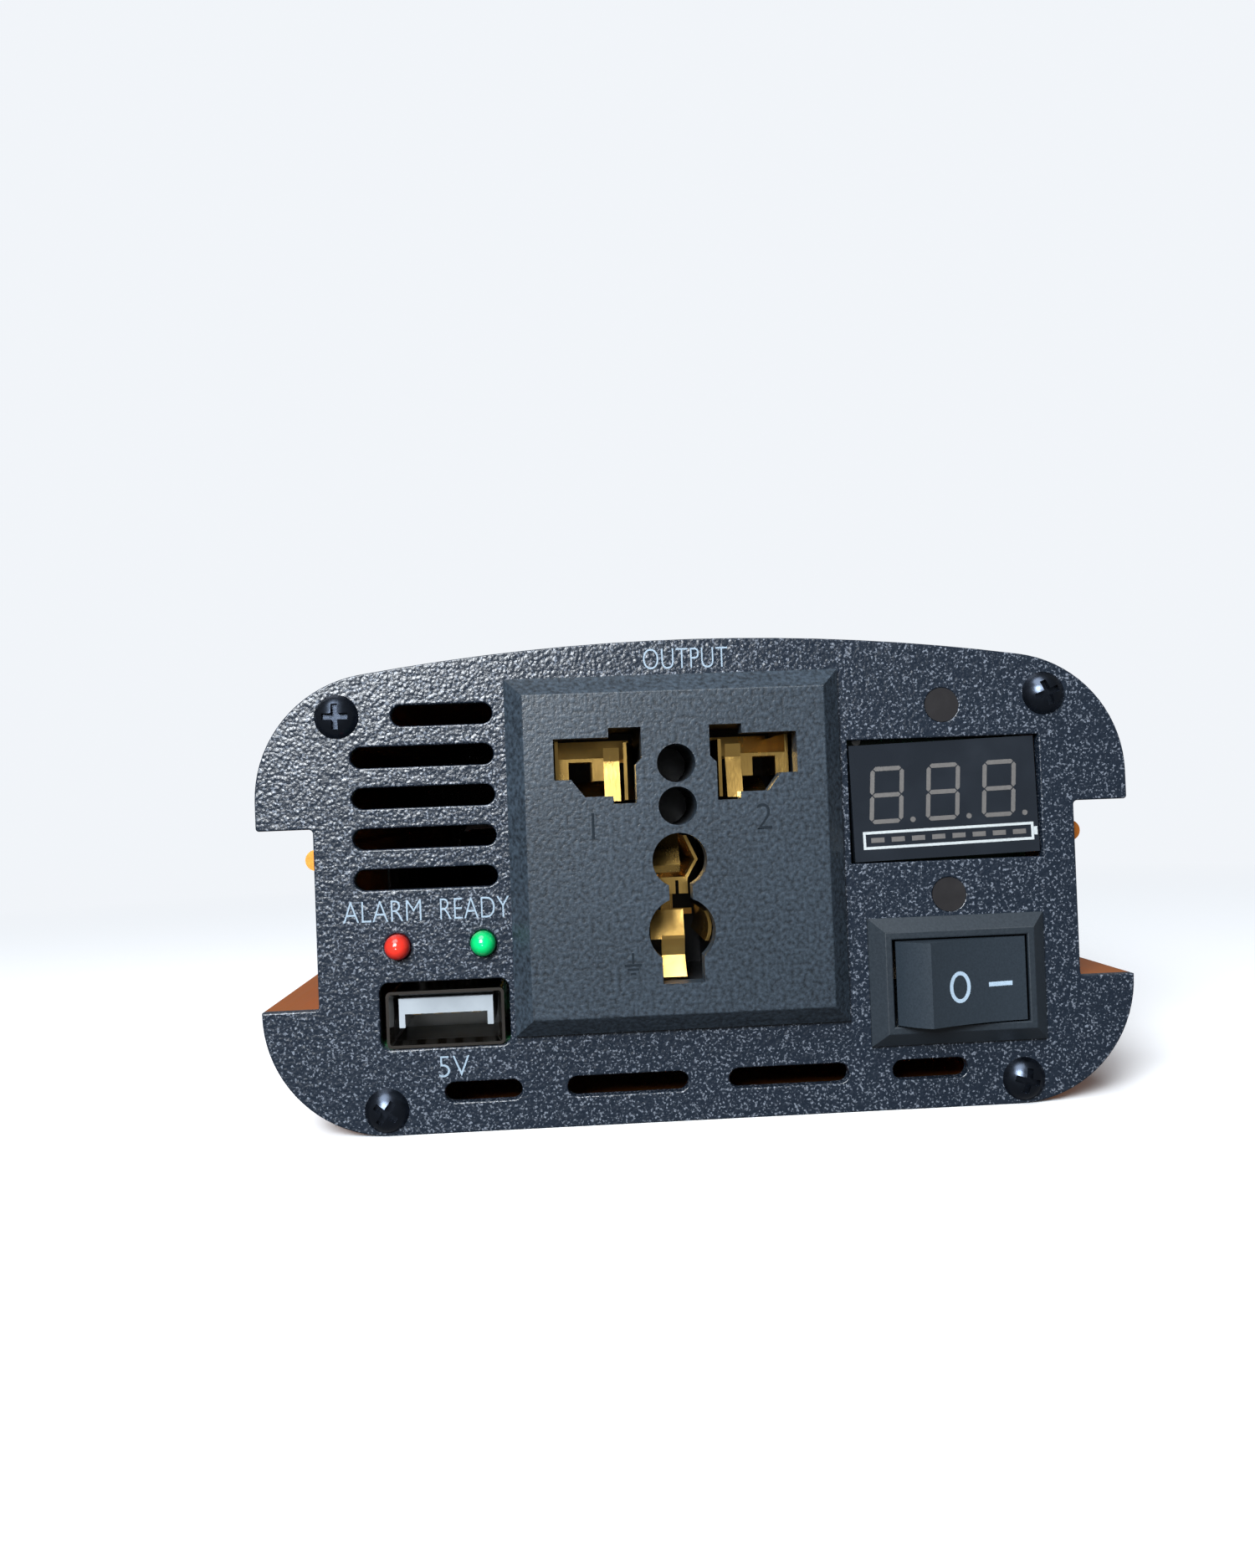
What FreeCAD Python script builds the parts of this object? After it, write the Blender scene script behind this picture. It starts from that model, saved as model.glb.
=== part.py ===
import FreeCAD, Part

import math
import operator
import os

import Sketcher

# A small power inverter: a two-part extruded case that runs along Y, a front panel with the
# outlets at -Y and a rear panel with the fan and the battery posts at +Y. Millimetres, +Z up,
# origin under the middle of the case on the surface that it rests on.
# Heights whose names end in _up are counted from the lower edge of a panel.

SIZES = {
    # case and panels
    "case_length": 160.0, "wall": 1.6, "panel_width": 104.2, "panel_height": 57.2,
    "panel_thick": 1.5, "panel_inset": 0.0, "corner_radius": 14.8, "top_radius": 260.0,
    "notch_low_up": 15.0, "notch_high_up": 36.2, "notch_depth": 6.6, "notch_fillet": 0.5,
    "tip_fillet": 0.4, "panel_edge": 0.2, "moulded_edge": 0.2, "seam_up": 31.3, "bead_radius": 1.25,
    "tongue_thick": 0.7, "tongue_tall": 1.4, "seam_fit": 0.1, "seam_lip": 0.6,
    "flute_pitch": 5.0, "flute_radius": 1.2, "flute_depth": 0.5,
    # panel screws and the ports they bite into
    "high_screw_x": 42.3, "high_screw_up": 49.3, "low_screw_x": 38.0, "low_screw_up": 3.0,
    "high_port_radius": 3.0, "low_port_radius": 2.7, "screw_radius": 1.45, "screw_reach": 8.0,
    "screw_head_radius": 2.6, "screw_head_tall": 1.7, "recess_wide": 0.75, "recess_long": 3.0,
    "recess_deep": 1.0, "recess_turn": 35.0,
    # vents
    "side_vent_left": -40.9, "side_vent_right": -24.1, "top_vent_left": -36.0,
    "side_vent_up": 49.2, "side_vent_pitch": 4.8, "side_vent_tall": 2.5, "low_vent_up": 4.75,
    "low_vent_tall": 2.4, "inner_vent_x": 9.6, "inner_vent_long": 14.4, "outer_vent_x": 26.65,
    "outer_vent_long": 9.1,
    # mains socket
    "socket_x": -2.8, "socket_up": 32.0, "socket_wide": 39.7, "socket_tall": 42.0,
    "socket_rim": 0.6, "socket_proud": 3.0, "socket_bevel": 2.15, "housing_wide": 34.0,
    "housing_tall": 36.4, "housing_deep": 19.0, "cover_thick": 2.5, "cutout_fit": 0.2,
    "snap_proud": 0.8, "snap_long": 4.0, "snap_wide": 12.0, "pole_low_up": 37.9,
    "pole_high_up": 46.75, "pole_inner": 4.0, "pole_outer": 14.25, "pole_mid": 7.8,
    "pole_flat_high_up": 45.65, "pole_flat_low_up": 40.85, "pole_shoulder_up": 38.8,
    "pole_neck": 4.75, "pole_neck_up": 43.1, "pole_foot": 10.75, "pole_step": 12.3,
    "pole_jog": 0.35,
    "key_hole_radius": 2.25, "key_high_up": 42.4, "key_low_up": 37.4, "earth_high_up": 31.05,
    "earth_high_radius": 3.2, "earth_low_up": 22.8, "earth_low_radius": 3.9,
    "earth_neck_wide": 2.75, "earth_slot_wide": 4.9, "earth_slot_up": 16.75,
    "contact_thick": 0.5, "contact_recess": 4.4, "contact_gap": 0.4, "tail_wide": 5.0,
    "tail_out": 6.0, "leaf_thick": 0.4, "leaf_bend": 0.6,
    # the pole contacts' leaves, counted across from the middle of the socket
    "inner_leaf_near": 4.3, "inner_leaf_low_up": 38.3, "inner_leaf_high_up": 45.2,
    "outer_leaf_near": 13.7, "outer_leaf_low_up": 40.8, "outer_leaf_high_up": 45.6,
    "front_leaf_near": 6.4, "front_leaf_far": 8.3, "front_leaf_low_up": 38.2,
    "front_leaf_high_up": 44.6, "cross_leaf_up": 43.0, "near_tab_far": 9.7, "far_tab_near": 12.5,
    "tab_low_up": 40.7, "floor_leaf_far": 11.7, "leaf_deep": 8.0, "back_strip_low_up": 43.6,
    "back_strip_high_up": 46.2,
    # the earth contact's leaves
    "earth_strip_half": 0.8, "earth_strip_low_up": 18.0, "earth_strip_high_up": 33.0,
    "dome_left": -2.9, "dome_right": 0.4, "dome_low_up": 29.4, "dome_high_up": 34.2,
    "hook_left": 0.9, "hook_right": 2.2, "hook_mid_up": 30.9, "hook_low_up": 28.7,
    "hook_high_up": 33.8, "ledge_left": -2.2, "ledge_right": 1.3, "ledge_low_up": 26.8,
    "ledge_high_up": 28.4, "tongue_left": -3.4, "tongue_step": -2.1, "tongue_right": 0.7,
    "tongue_low_up": 17.0, "tongue_mid_up": 21.8, "tongue_high_up": 24.8, "shield_radius": 3.6,
    # rocker switch
    "switch_x": 30.25, "switch_up": 15.4, "bezel_wide": 21.3, "bezel_tall": 15.2,
    "bezel_rim": 0.5, "bezel_proud": 2.0, "rim_wide": 17.9, "rim_tall": 12.0,
    "mouth_wide": 16.3, "mouth_tall": 10.3, "lip_thick": 0.4, "throat_deep": 1.1,
    "throat_wide": 17.3, "chamber_wide": 18.5, "chamber_tall": 10.5, "switch_body_wide": 19.4,
    "switch_body_tall": 13.0, "switch_body_deep": 17.0, "switch_base": 1.5,
    "pivot_below_rim": 4.6, "rocker_reach": 9.0, "rocker_gap": 0.2, "rocker_dish": 0.6,
    "rocker_rest": 15.0, "rocker_corner_turn": 45.0, "rocker_edge_turn": 15.0,
    "rocker_slope": 2.6, "rocker_floor": 1.6, "plunger_skin": 0.8, "plunger_bore": 4.0,
    "trunnion_radius": 1.2, "trunnion_fit": 0.05, "trunnion_out": 0.75,
    "plunger_radius": 1.1, "plunger_out": 1.6, "rocker_leg_low": 5.6, "arm_long": 12.0,
    "arm_tall": 3.6, "arm_thick": 0.5, "arm_below_pivot": 10.9, "arm_rest": 8.0, "arm_gap": 0.15,
    "fulcrum_radius": 0.45, "fulcrum_fit": 0.05,
    "blade_wide": 4.8, "blade_thick": 0.8, "blade_out": 8.0, "blade_spacing": 6.0,
    # display
    "display_x": 29.8, "display_up": 37.0, "display_wide": 22.6, "display_tall": 14.0,
    "display_deep": 7.0, "display_recess": 0.4, "display_turn": 1.3, "window_wide": 23.4,
    "window_tall": 14.8, "board_thick": 1.6, "display_board_low_up": 23.0,
    "display_board_mid_up": 45.6, "display_board_high_up": 50.7, "display_board_left": 17.4,
    "display_board_right": 42.0, "display_tab_wide": 12.0, "post_radius": 2.05,
    "post_high_up": 48.3, "post_low_up": 25.5, "post_pin_radius": 1.2, "post_pin_out": 0.8,
    "post_x": 29.78,
    # USB outlet
    "usb_x": -30.85, "usb_base_up": 10.5, "usb_wide": 13.1, "usb_tall": 5.9, "usb_deep": 14.0,
    "usb_skin": 0.35, "usb_outer_round": 0.6, "usb_inner_round": 0.3, "usb_flare": 0.38,
    "usb_flare_long": 1.3, "usb_back": 0.3,
    "usb_window_wide": 15.2, "usb_window_low_up": 10.0, "usb_window_high_up": 17.9,
    "usb_window_round": 1.2, "tongue_wide": 11.1, "tongue_high": 1.84, "tongue_recess": 1.0,
    "tongue_above": 3.45, "tongue_leg": 0.7, "tongue_leg_tall": 1.6, "usb_block": 3.5,
    "pin_wide": 1.0, "pin_thick": 0.25, "pin_inner": 1.0, "pin_outer": 3.5, "pin_recess": 1.0,
    "pin_out": 1.2, "usb_board_left": -39.4, "usb_board_right": -22.4, "usb_board_long": 22.0,
    "usb_board_fit": 0.1, "usb_header_wide": 10.0, "usb_header_deep": 2.5,
    "usb_header_inset": 1.0,
    # lamps
    "lamp_radius": 1.5, "lamp_fit": 0.05, "lamp_proud": 2.0, "lamp_flange_radius": 1.95,
    "lamp_flange": 1.0, "fault_x": -36.1, "power_x": -26.1, "lamp_up": 22.1,
    "lamp_board_behind": 4.4, "lamp_board_left": -40.6, "lamp_board_right": -21.6,
    "lamp_board_low_up": 18.6, "lamp_board_high_up": 25.6, "lamp_lead": 0.5,
    "lamp_lead_off": 1.1,
    # main board and what stands on it
    "board_low": 6.4, "board_half": 46.3, "board_end_gap": 1.5, "rail_reach": 44.2,
    "rail_thick": 1.2, "rail_fit": 0.2, "sheet_thick": 0.3, "sheet_half": 33.5,
    "sheet_start": -58.0, "transistor_wide": 10.0, "transistor_thick": 4.5, "tab_thick": 1.3,
    "transistor_low": 15.0, "transistor_body": 9.0, "transistor_tall": 15.5,
    "transistor_pitch": 13.6, "leg_near": 2.0, "leg_thick": 0.6, "leg_wide": 0.8,
    "leg_pitch": 2.54, "dc_row_y": -26.0, "bridge_row_y": 4.0, "pad_thick": 0.3,
    "clamp_thick": 1.5, "clamp_low": 18.0, "clamp_tall": 5.0, "core_wide": 33.0,
    "core_deep": 13.0, "core_tall": 27.0, "core_leg": 5.5, "core_mid_leg": 10.0,
    "core_x": -4.0, "front_core_y": 10.0, "rear_core_y": 46.0, "core_lift": 1.5,
    "winding_out": 5.5, "bobbin_thick": 1.0, "rail_gap": 1.0, "can_radius": 8.0, "can_tall": 25.0,
    "can_groove": 0.6, "can_groove_rise": 2.0,
    "can_x": -29.0, "front_can_y": 27.0, "rear_can_y": 45.0, "bus_can_radius": 9.0,
    "bus_can_tall": 30.0, "bus_can_x": 24.0, "bus_can_y": -22.0, "choke_x": 25.0,
    "choke_y": 46.0, "choke_out": 10.0, "choke_in": 5.5, "choke_thick": 8.0,
    "choke_wire": 1.2, "choke_play": 0.05, "fuse_x": -29.0, "fuse_y": 60.0, "fuse_pitch": 7.0,
    "fuse_wide": 16.0, "fuse_thick": 3.8, "fuse_tall": 9.0, "fuse_blade_off": 4.5,
    "fuse_blade_wide": 3.0, "fuse_blade_thick": 0.8, "holder_tall": 7.0, "holder_wall": 1.2,
    "holder_floor": 1.0, "chip_wide": 6.4, "chip_long": 19.0, "chip_tall": 3.4,
    "chip_lift": 0.6, "chip_x": -14.0, "chip_y": -29.0, "chip_gap": 16.0, "chip_pin_wide": 0.6,
    "chip_pin_out": 0.6, "buzzer_radius": 6.0, "buzzer_tall": 8.5, "buzzer_x": 8.0,
    "buzzer_y": -36.0, "buzzer_hole": 1.0, "buzzer_floor": 2.0,
    # fan
    "fan_side": 40.0, "fan_deep": 10.0, "fan_x": 18.0, "fan_up": 29.0, "fan_bore": 18.8,
    "fan_hole_pitch": 32.0, "fan_corner": 2.5, "fan_arm_wide": 2.4, "fan_arm_in": 0.4,
    "fan_tube_short": 3.5, "fan_cup_floor": 1.2, "fan_blade_root": 0.6, "fan_shaft_inset": 0.4,
    "fan_head_radius": 3.2, "fan_screw_out": 0.6, "fan_screw_radius": 1.5,
    "fan_blade_tip": 18.2, "fan_hub": 10.5, "fan_hub_skin": 1.2, "fan_web": 1.2, "fan_gap": 0.6, "fan_blade_turn": 40.0,
    "fan_blade_chord": 9.0, "fan_blade_thick": 0.9, "fan_shaft": 1.0, "fan_shaft_fit": 0.05,
    "fan_bearing": 2.6, "fan_stator": 8.6, "stator_short": 2.2, "stator_slot_wide": 2.4,
    "stator_slot_in": 4.0, "guard_wire": 0.7, "guard_step": 4.6, "guard_rise": 0.84,
    "guard_inner": 4.2, "guard_eye": 2.3, "fan_nut_tall": 2.4, "fan_nut_radius": 3.1,
    # battery posts
    "positive_x": -36.0, "negative_x": -15.0, "post_up": 29.0, "stud_radius": 3.0,
    "stud_inside": 9.0, "stud_outside": 12.5, "insulator_radius": 7.0, "insulator_tall": 3.5,
    "sleeve_radius": 5.0, "sleeve_fit": 0.1, "collar_radius": 5.5, "collar_tall": 1.2,
    "washer_tall": 1.0, "washer_radius": 6.0, "washer_gap": 0.05, "cap_radius": 6.5,
    "cap_long": 15.0, "cap_bore_fit": 0.05, "spigot_radius": 4.0, "spigot_fit": 0.08,
    "cap_flute": 0.9, "cap_edge": 1.0, "cap_headroom": 0.8, "nut_radius": 5.8, "nut_tall": 3.2,
    "lug_thick": 1.0, "lug_radius": 5.5, "lug_wide": 7.0, "lug_drop": 12.0,
    # leads
    "power_lead": 2.0, "power_lead_rise": 2.4, "power_lead_run": 6.0, "mains_lead": 1.3,
    "pole_lead_run": 9.0, "earth_lead_run": 5.0, "signal_lead": 0.8, "switch_lead_run": 6.0,
    "fan_lead_rise": 2.0, "fan_lead_run": 5.0, "ribbon_wide": 8.0, "ribbon_thick": 0.9,
    "ribbon_bend": 2.7, "display_ribbon_right": 4.0, "display_ribbon_run": 24.0,
    "lamp_ribbon_left": 2.0, "lamp_ribbon_run": 20.0,
}
SIDE_VENTS = 5
FLUTES = 13
FAN_BLADES = 7
CAP_FLUTES = 18
CHOKE_TURNS = 12
TRANSISTORS = 4
CHIP_PINS = 8
GUARD_RINGS = 3
DIAGONALS = (45, 135, 225, 315)
PAST = 1  # how far a cutting tool runs on past what it cuts


class Size:
    """A number, and the expression on the sheet's cells that gives it."""

    def __init__(self, value, text=""):
        self.value = float(value)
        self.text = text or "(%.9g)" % value

    def __add__(self, other):
        return combine(self, "+", other)

    def __radd__(self, other):
        return combine(other, "+", self)

    def __sub__(self, other):
        return combine(self, "-", other)

    def __rsub__(self, other):
        return combine(other, "-", self)

    def __mul__(self, other):
        return combine(self, "*", other)

    def __rmul__(self, other):
        return combine(other, "*", self)

    def __truediv__(self, other):
        return combine(self, "/", other)

    def __rtruediv__(self, other):
        return combine(other, "/", self)

    def __neg__(self):
        return combine(0, "-", self)


class Named:
    """The sheet's cells by name."""

    def __getattr__(self, name):
        return Size(SIZES[name], "sizes." + name)


MATHS = {"+": operator.add, "-": operator.sub, "*": operator.mul, "/": operator.truediv}


def size(thing):
    return thing if isinstance(thing, Size) else Size(thing)


def combine(first, sign, second):
    first, second = size(first), size(second)
    value = MATHS[sign](first.value, second.value)
    return Size(value, "(%s %s %s)" % (first.text, sign, second.text))


def root(thing):
    return Size(math.sqrt(thing.value), "sqrt(%s)" % thing.text)


d = Named()
doc = FreeCAD.newDocument("power_inverter")
nodes = []


def fill_sheet():
    sheet = doc.addObject("Spreadsheet::Sheet", "sizes")
    for row, (name, value) in enumerate(SIZES.items(), 1):
        sheet.set("A%d" % row, name)
        sheet.set("B%d" % row, str(value))
        sheet.setAlias("B%d" % row, name)
    doc.recompute()


# ---- places that several pieces share ----

def up(height):
    """Height above the surface it rests on, from a height above a panel's lower edge."""
    return d.panel_inset + height


def corner_x():
    return d.panel_width / 2 - d.corner_radius


def low_corner_z():
    return up(d.corner_radius)


def top_centre_z():
    return up(d.panel_height - d.top_radius)


def high_corner_z():
    reach = d.top_radius - d.corner_radius
    return top_centre_z() + root(reach * reach - corner_x() * corner_x())


def crown(offset):
    """Where the top arc meets a corner arc, on the outline moved outwards by offset."""
    reach = d.top_radius - d.corner_radius
    run = corner_x() / reach
    rise = (high_corner_z() - top_centre_z()) / reach
    radius = d.top_radius + offset
    return run * radius, top_centre_z() + rise * radius


case_front = -d.case_length / 2
case_rear = d.case_length / 2
front_face = case_front - d.panel_thick
rear_face = case_rear + d.panel_thick
web_out = d.panel_width / 2 - d.notch_depth + d.panel_inset
web_in = web_out - d.wall
seam_z = up(d.seam_up)
board_top = d.board_low + d.board_thick


# ---- plain solids ----

TURNS = {
    "X": FreeCAD.Rotation(FreeCAD.Vector(0, 1, 0), 90),
    "Y": FreeCAD.Rotation(FreeCAD.Vector(1, 0, 0), -90),
    "Z": FreeCAD.Rotation(),
}


def place(thing, x=0, y=0, z=0):
    for axis, value in zip("xyz", (x, y, z)):
        thing.setExpression("Placement.Base." + axis, size(value).text)
    return thing


def turn(thing, axis, angle):
    """Turn a piece about an axis through its own origin."""
    thing.Placement.Rotation = FreeCAD.Rotation(FreeCAD.Vector(*axis), size(angle).value)
    return thing


def block(name, x, y, z):
    """A box from the low and high value on each axis."""
    box = doc.addObject("Part::Box", name)
    for side, (low, high) in zip(("Length", "Width", "Height"), (x, y, z)):
        box.setExpression(side, (size(high) - low).text)
    return place(box, x[0], y[0], z[0])


def rod(name, base, radius, length, axis="Y"):
    """A cylinder from its base point along an axis."""
    cylinder = doc.addObject("Part::Cylinder", name)
    cylinder.setExpression("Radius", size(radius).text)
    cylinder.setExpression("Height", size(length).text)
    cylinder.Placement.Rotation = TURNS[axis]
    return place(cylinder, *base)


def ring(name, centre, radius, wire):
    """A wire ring around the Y axis."""
    torus = doc.addObject("Part::Torus", name)
    torus.setExpression("Radius1", size(radius).text)
    torus.setExpression("Radius2", size(wire).text)
    torus.Placement.Rotation = TURNS["Y"]
    return place(torus, *centre)


def fuse(name, pieces):
    joined = doc.addObject("Part::MultiFuse", name)
    joined.Shapes = pieces
    return joined


def group(name, pieces):
    """Separate solids kept in one object."""
    compound = doc.addObject("Part::Compound", name)
    compound.Links = pieces
    return compound


def cut(name, base, tools):
    """Take tools away from base; the volume has to fall."""
    result = doc.addObject("Part::Cut", name)
    result.Base = base
    result.Tool = tools[0] if len(tools) == 1 else group(name + "_tools", tools)
    doc.recompute()
    if result.Shape.Volume > base.Shape.Volume - 1e-6:
        raise RuntimeError(name + ": the cut took nothing away")
    return result


def copy(thing, x=0, y=0, z=0, axis=(0, 0, 1), angle=0):
    """Another of the same piece, somewhere else."""
    link = doc.addObject("App::Link", thing.Name + "_copy")
    link.LinkedObject = thing
    turn(link, axis, angle)
    return place(link, x, y, z)


def node(name, thing):
    """Keep an object as the sub-part of that name."""
    thing.Label = name
    nodes.append(thing)
    return thing


# ---- sketched solids ----

def rectangle(x0, x1, z0, z1):
    return [(x0, z0), (x1, z0), (x1, z1), (x0, z1)]


def rounded(x0, x1, z0, z1, radius):
    """A rectangle with round corners; the arcs run anticlockwise."""
    left, right, low, high = x0 + radius, x1 - radius, z0 + radius, z1 - radius
    return [
        (left, z0, left, low, 1), (right, z0), (x1, low, right, low, 1), (x1, high),
        (right, z1, right, high, 1), (left, z1), (x0, high, left, high, 1), (x0, low),
    ]


def slot(x0, x1, middle, tall):
    """A slot along the first axis, with round ends."""
    radius = tall / 2
    left, right = x0 + radius, x1 - radius
    low, high = middle - radius, middle + radius
    return [(left, low, left, middle, 1), (right, low), (right, high, right, middle, 1),
            (left, high)]


def both_sides(half):
    """Close a half outline that starts and ends on the middle line with its mirror image."""
    points = list(half)
    for index in range(len(half) - 1, 0, -1):
        arrival = half[index][2:]
        mirrored = (-arrival[0], arrival[1], arrival[2]) if arrival else ()
        if index == 1:
            points[0] = half[0][:2] + mirrored
        else:
            points.append((-half[index - 1][0], half[index - 1][1]) + mirrored)
    return points


def corners(points):
    return [FreeCAD.Vector(size(point[0]).value, size(point[1]).value, 0) for point in points]


def edge_between(start, end, arrival):
    """A straight edge, or an arc about the centre that its end point states."""
    if not arrival:
        return Part.LineSegment(start, end)
    centre = FreeCAD.Vector(size(arrival[0]).value, size(arrival[1]).value, 0)
    from_angle = math.atan2(start.y - centre.y, start.x - centre.x)
    to_angle = math.atan2(end.y - centre.y, end.x - centre.x)
    if arrival[2] < 0:
        from_angle, to_angle = to_angle, from_angle
    circle = Part.Circle(centre, FreeCAD.Vector(0, 0, 1), start.distanceToPoint(centre))
    return Part.ArcOfCircle(circle, from_angle, to_angle)


def draw(sketch, points):
    """Draw a closed outline and tie each of its points to the sheet.

    A point is (u, v), or (u, v, centre u, centre v, turn) where an arc arrives at it.
    """
    first = sketch.GeometryCount
    spots = corners(points)
    count = len(points)
    ties = []
    for index in range(count):
        after = (index + 1) % count
        arrival = points[after][2:]
        sketch.addGeometry(edge_between(spots[index], spots[after], arrival))
        clockwise = bool(arrival) and arrival[2] < 0
        begin = 2 if clockwise else 1
        ties.append((first + index, begin, 3 - begin, arrival, spots[index], spots[after]))
    for index, (edge, begin, finish, arrival, start, end) in enumerate(ties):
        following = ties[(index + 1) % count]
        sketch.addConstraint(Sketcher.Constraint("Coincident", edge, finish, following[0], following[1]))
        tie_point(sketch, edge, begin, points[index][0], points[index][1])
        if arrival and abs(end.x - start.x) < abs(end.y - start.y):
            tie(sketch, "DistanceX", edge, 3, arrival[0])
        elif arrival:
            tie(sketch, "DistanceY", edge, 3, arrival[1])


def tie(sketch, kind, edge, vertex, value):
    value = size(value)
    index = sketch.addConstraint(Sketcher.Constraint(kind, -1, 1, edge, vertex, value.value))
    sketch.setExpression("Constraints[%d]" % index, value.text)


def tie_point(sketch, edge, vertex, u, v):
    tie(sketch, "DistanceX", edge, vertex, u)
    tie(sketch, "DistanceY", edge, vertex, v)


def draw_circle(sketch, u, v, radius):
    u, v, radius = size(u), size(v), size(radius)
    centre = FreeCAD.Vector(u.value, v.value, 0)
    edge = sketch.addGeometry(Part.Circle(centre, FreeCAD.Vector(0, 0, 1), radius.value))
    tie_point(sketch, edge, 3, u, v)
    index = sketch.addConstraint(Sketcher.Constraint("Radius", edge, radius.value))
    sketch.setExpression("Constraints[%d]" % index, radius.text)


def sketch_on(body, plane, level, outlines=(), circles=()):
    """A sketch on one of the body's own planes, moved along the plane's normal by level."""
    planes = [item for item in body.Origin.OriginFeatures if item.Role == plane + "_Plane"]
    sketch = body.newObject("Sketcher::SketchObject", body.Name + "_outline")
    sketch.AttachmentSupport = [(planes[0], "")]
    sketch.MapMode = "FlatFace"
    sketch.setExpression("AttachmentOffset.Base.z", size(level).text)
    for points in outlines:
        draw(sketch, points)
    for circle in circles:
        draw_circle(sketch, *circle)
    return sketch


def new_body(name):
    return doc.addObject("PartDesign::Body", name)


def pad(body, sketch, length, reverse=False):
    feature = body.newObject("PartDesign::Pad", body.Name + "_pad")
    feature.Profile = sketch
    feature.Reversed = reverse
    feature.setExpression("Length", size(length).text)
    doc.recompute()
    return feature


def pocket(body, sketch, length, reverse=False):
    """Cut a sketch's outlines into the body; the volume has to fall."""
    before = body.Shape.Volume
    feature = body.newObject("PartDesign::Pocket", body.Name + "_pocket")
    feature.Profile = sketch
    feature.Reversed = reverse
    feature.setExpression("Length", size(length).text)
    doc.recompute()
    if body.Shape.Volume > before - 1e-6:
        raise RuntimeError(body.Name + ": the pocket took nothing away")
    return feature


def revolve(body, sketch):
    """Turn a sketch about its own upright axis."""
    feature = body.newObject("PartDesign::Revolution", body.Name + "_turned")
    feature.Profile = sketch
    feature.ReferenceAxis = (sketch, ["V_Axis"])
    feature.Angle = 360
    doc.recompute()
    return feature


def loft(body, sketches):
    feature = body.newObject("PartDesign::AdditiveLoft", body.Name + "_loft")
    feature.Profile = sketches[0]
    feature.Sections = sketches[1:]
    feature.Ruled = True
    doc.recompute()
    return feature


def edges_along(shape, spots):
    """Names of the edges that run along Y through the given (x, z) spots."""
    names = []
    for index, edge in enumerate(shape.Edges, 1):
        box = edge.BoundBox
        if box.YLength < 0.5 or box.XLength > 0.01 or box.ZLength > 0.01:
            continue
        for x, z in spots:
            if abs(box.XMin - size(x).value) < 0.01 and abs(box.ZMin - size(z).value) < 0.01:
                names.append("Edge%d" % index)
    return names


def flat_face(shape, y):
    """Name of the largest face that lies flat at the given y."""
    best, name = 0, ""
    for index, face in enumerate(shape.Faces, 1):
        box = face.BoundBox
        flat = abs(box.YMin - size(y).value) < 1e-4 and abs(box.YMax - size(y).value) < 1e-4
        if flat and face.Area > best:
            best, name = face.Area, "Face%d" % index
    return name


def rim_edges(shape, y):
    """Names of the edges around the outside of the largest flat face at the given y."""
    face = shape.getElement(flat_face(shape, y))
    rim = face.OuterWire.Edges
    return ["Edge%d" % index for index, edge in enumerate(shape.Edges, 1)
            if any(edge.isSame(other) for other in rim)]


def round_edges(body, names, radius):
    base = body.Tip
    feature = body.newObject("PartDesign::Fillet", body.Name + "_fillet")
    feature.Base = (base, names)
    feature.setExpression("Radius", size(radius).text)
    doc.recompute()
    return feature


def lead(name, points, radius):
    """A wire along straight runs joined by tangent arcs."""
    spots = [FreeCAD.Vector(*[size(value).value for value in point]) for point in points]
    edges = []
    start = spots[0]
    for before, corner, after in zip(spots, spots[1:], spots[2:]):
        back = before - corner
        ahead = after - corner
        half_turn = (math.pi - back.getAngle(ahead)) / 2
        trim = 0.45 * min(back.Length, ahead.Length)
        bend = trim / math.tan(half_turn)
        back.normalize()
        ahead.normalize()
        enter = corner + back * trim
        leave = corner + ahead * trim
        middle = back + ahead
        middle.normalize()
        apex = corner + middle * (bend / math.cos(half_turn) - bend)
        edges.append(Part.LineSegment(start, enter).toShape())
        edges.append(Part.Arc(enter, apex, leave).toShape())
        start = leave
    edges.append(Part.LineSegment(start, spots[-1]).toShape())
    path = Part.Wire(edges)
    circle = Part.Circle(spots[0], spots[1] - spots[0], size(radius).value)
    wire = doc.addObject("Part::Feature", name)
    wire.Shape = path.makePipeShell([Part.Wire([circle.toShape()])], True, False)
    return wire


# ---- case ----

def screw_ports(body, x, z, outer):
    """A pair of screw ports that run the whole length of an extrusion."""
    pair = [(x, z, outer), (-x, z, outer)]
    pad(body, sketch_on(body, "XZ", d.case_length / -2, circles=pair), d.case_length)
    bores = [(x, z, d.screw_radius), (-x, z, d.screw_radius)]
    pocket(body, sketch_on(body, "XZ", d.case_length / -2, circles=bores), d.case_length, True)


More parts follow.
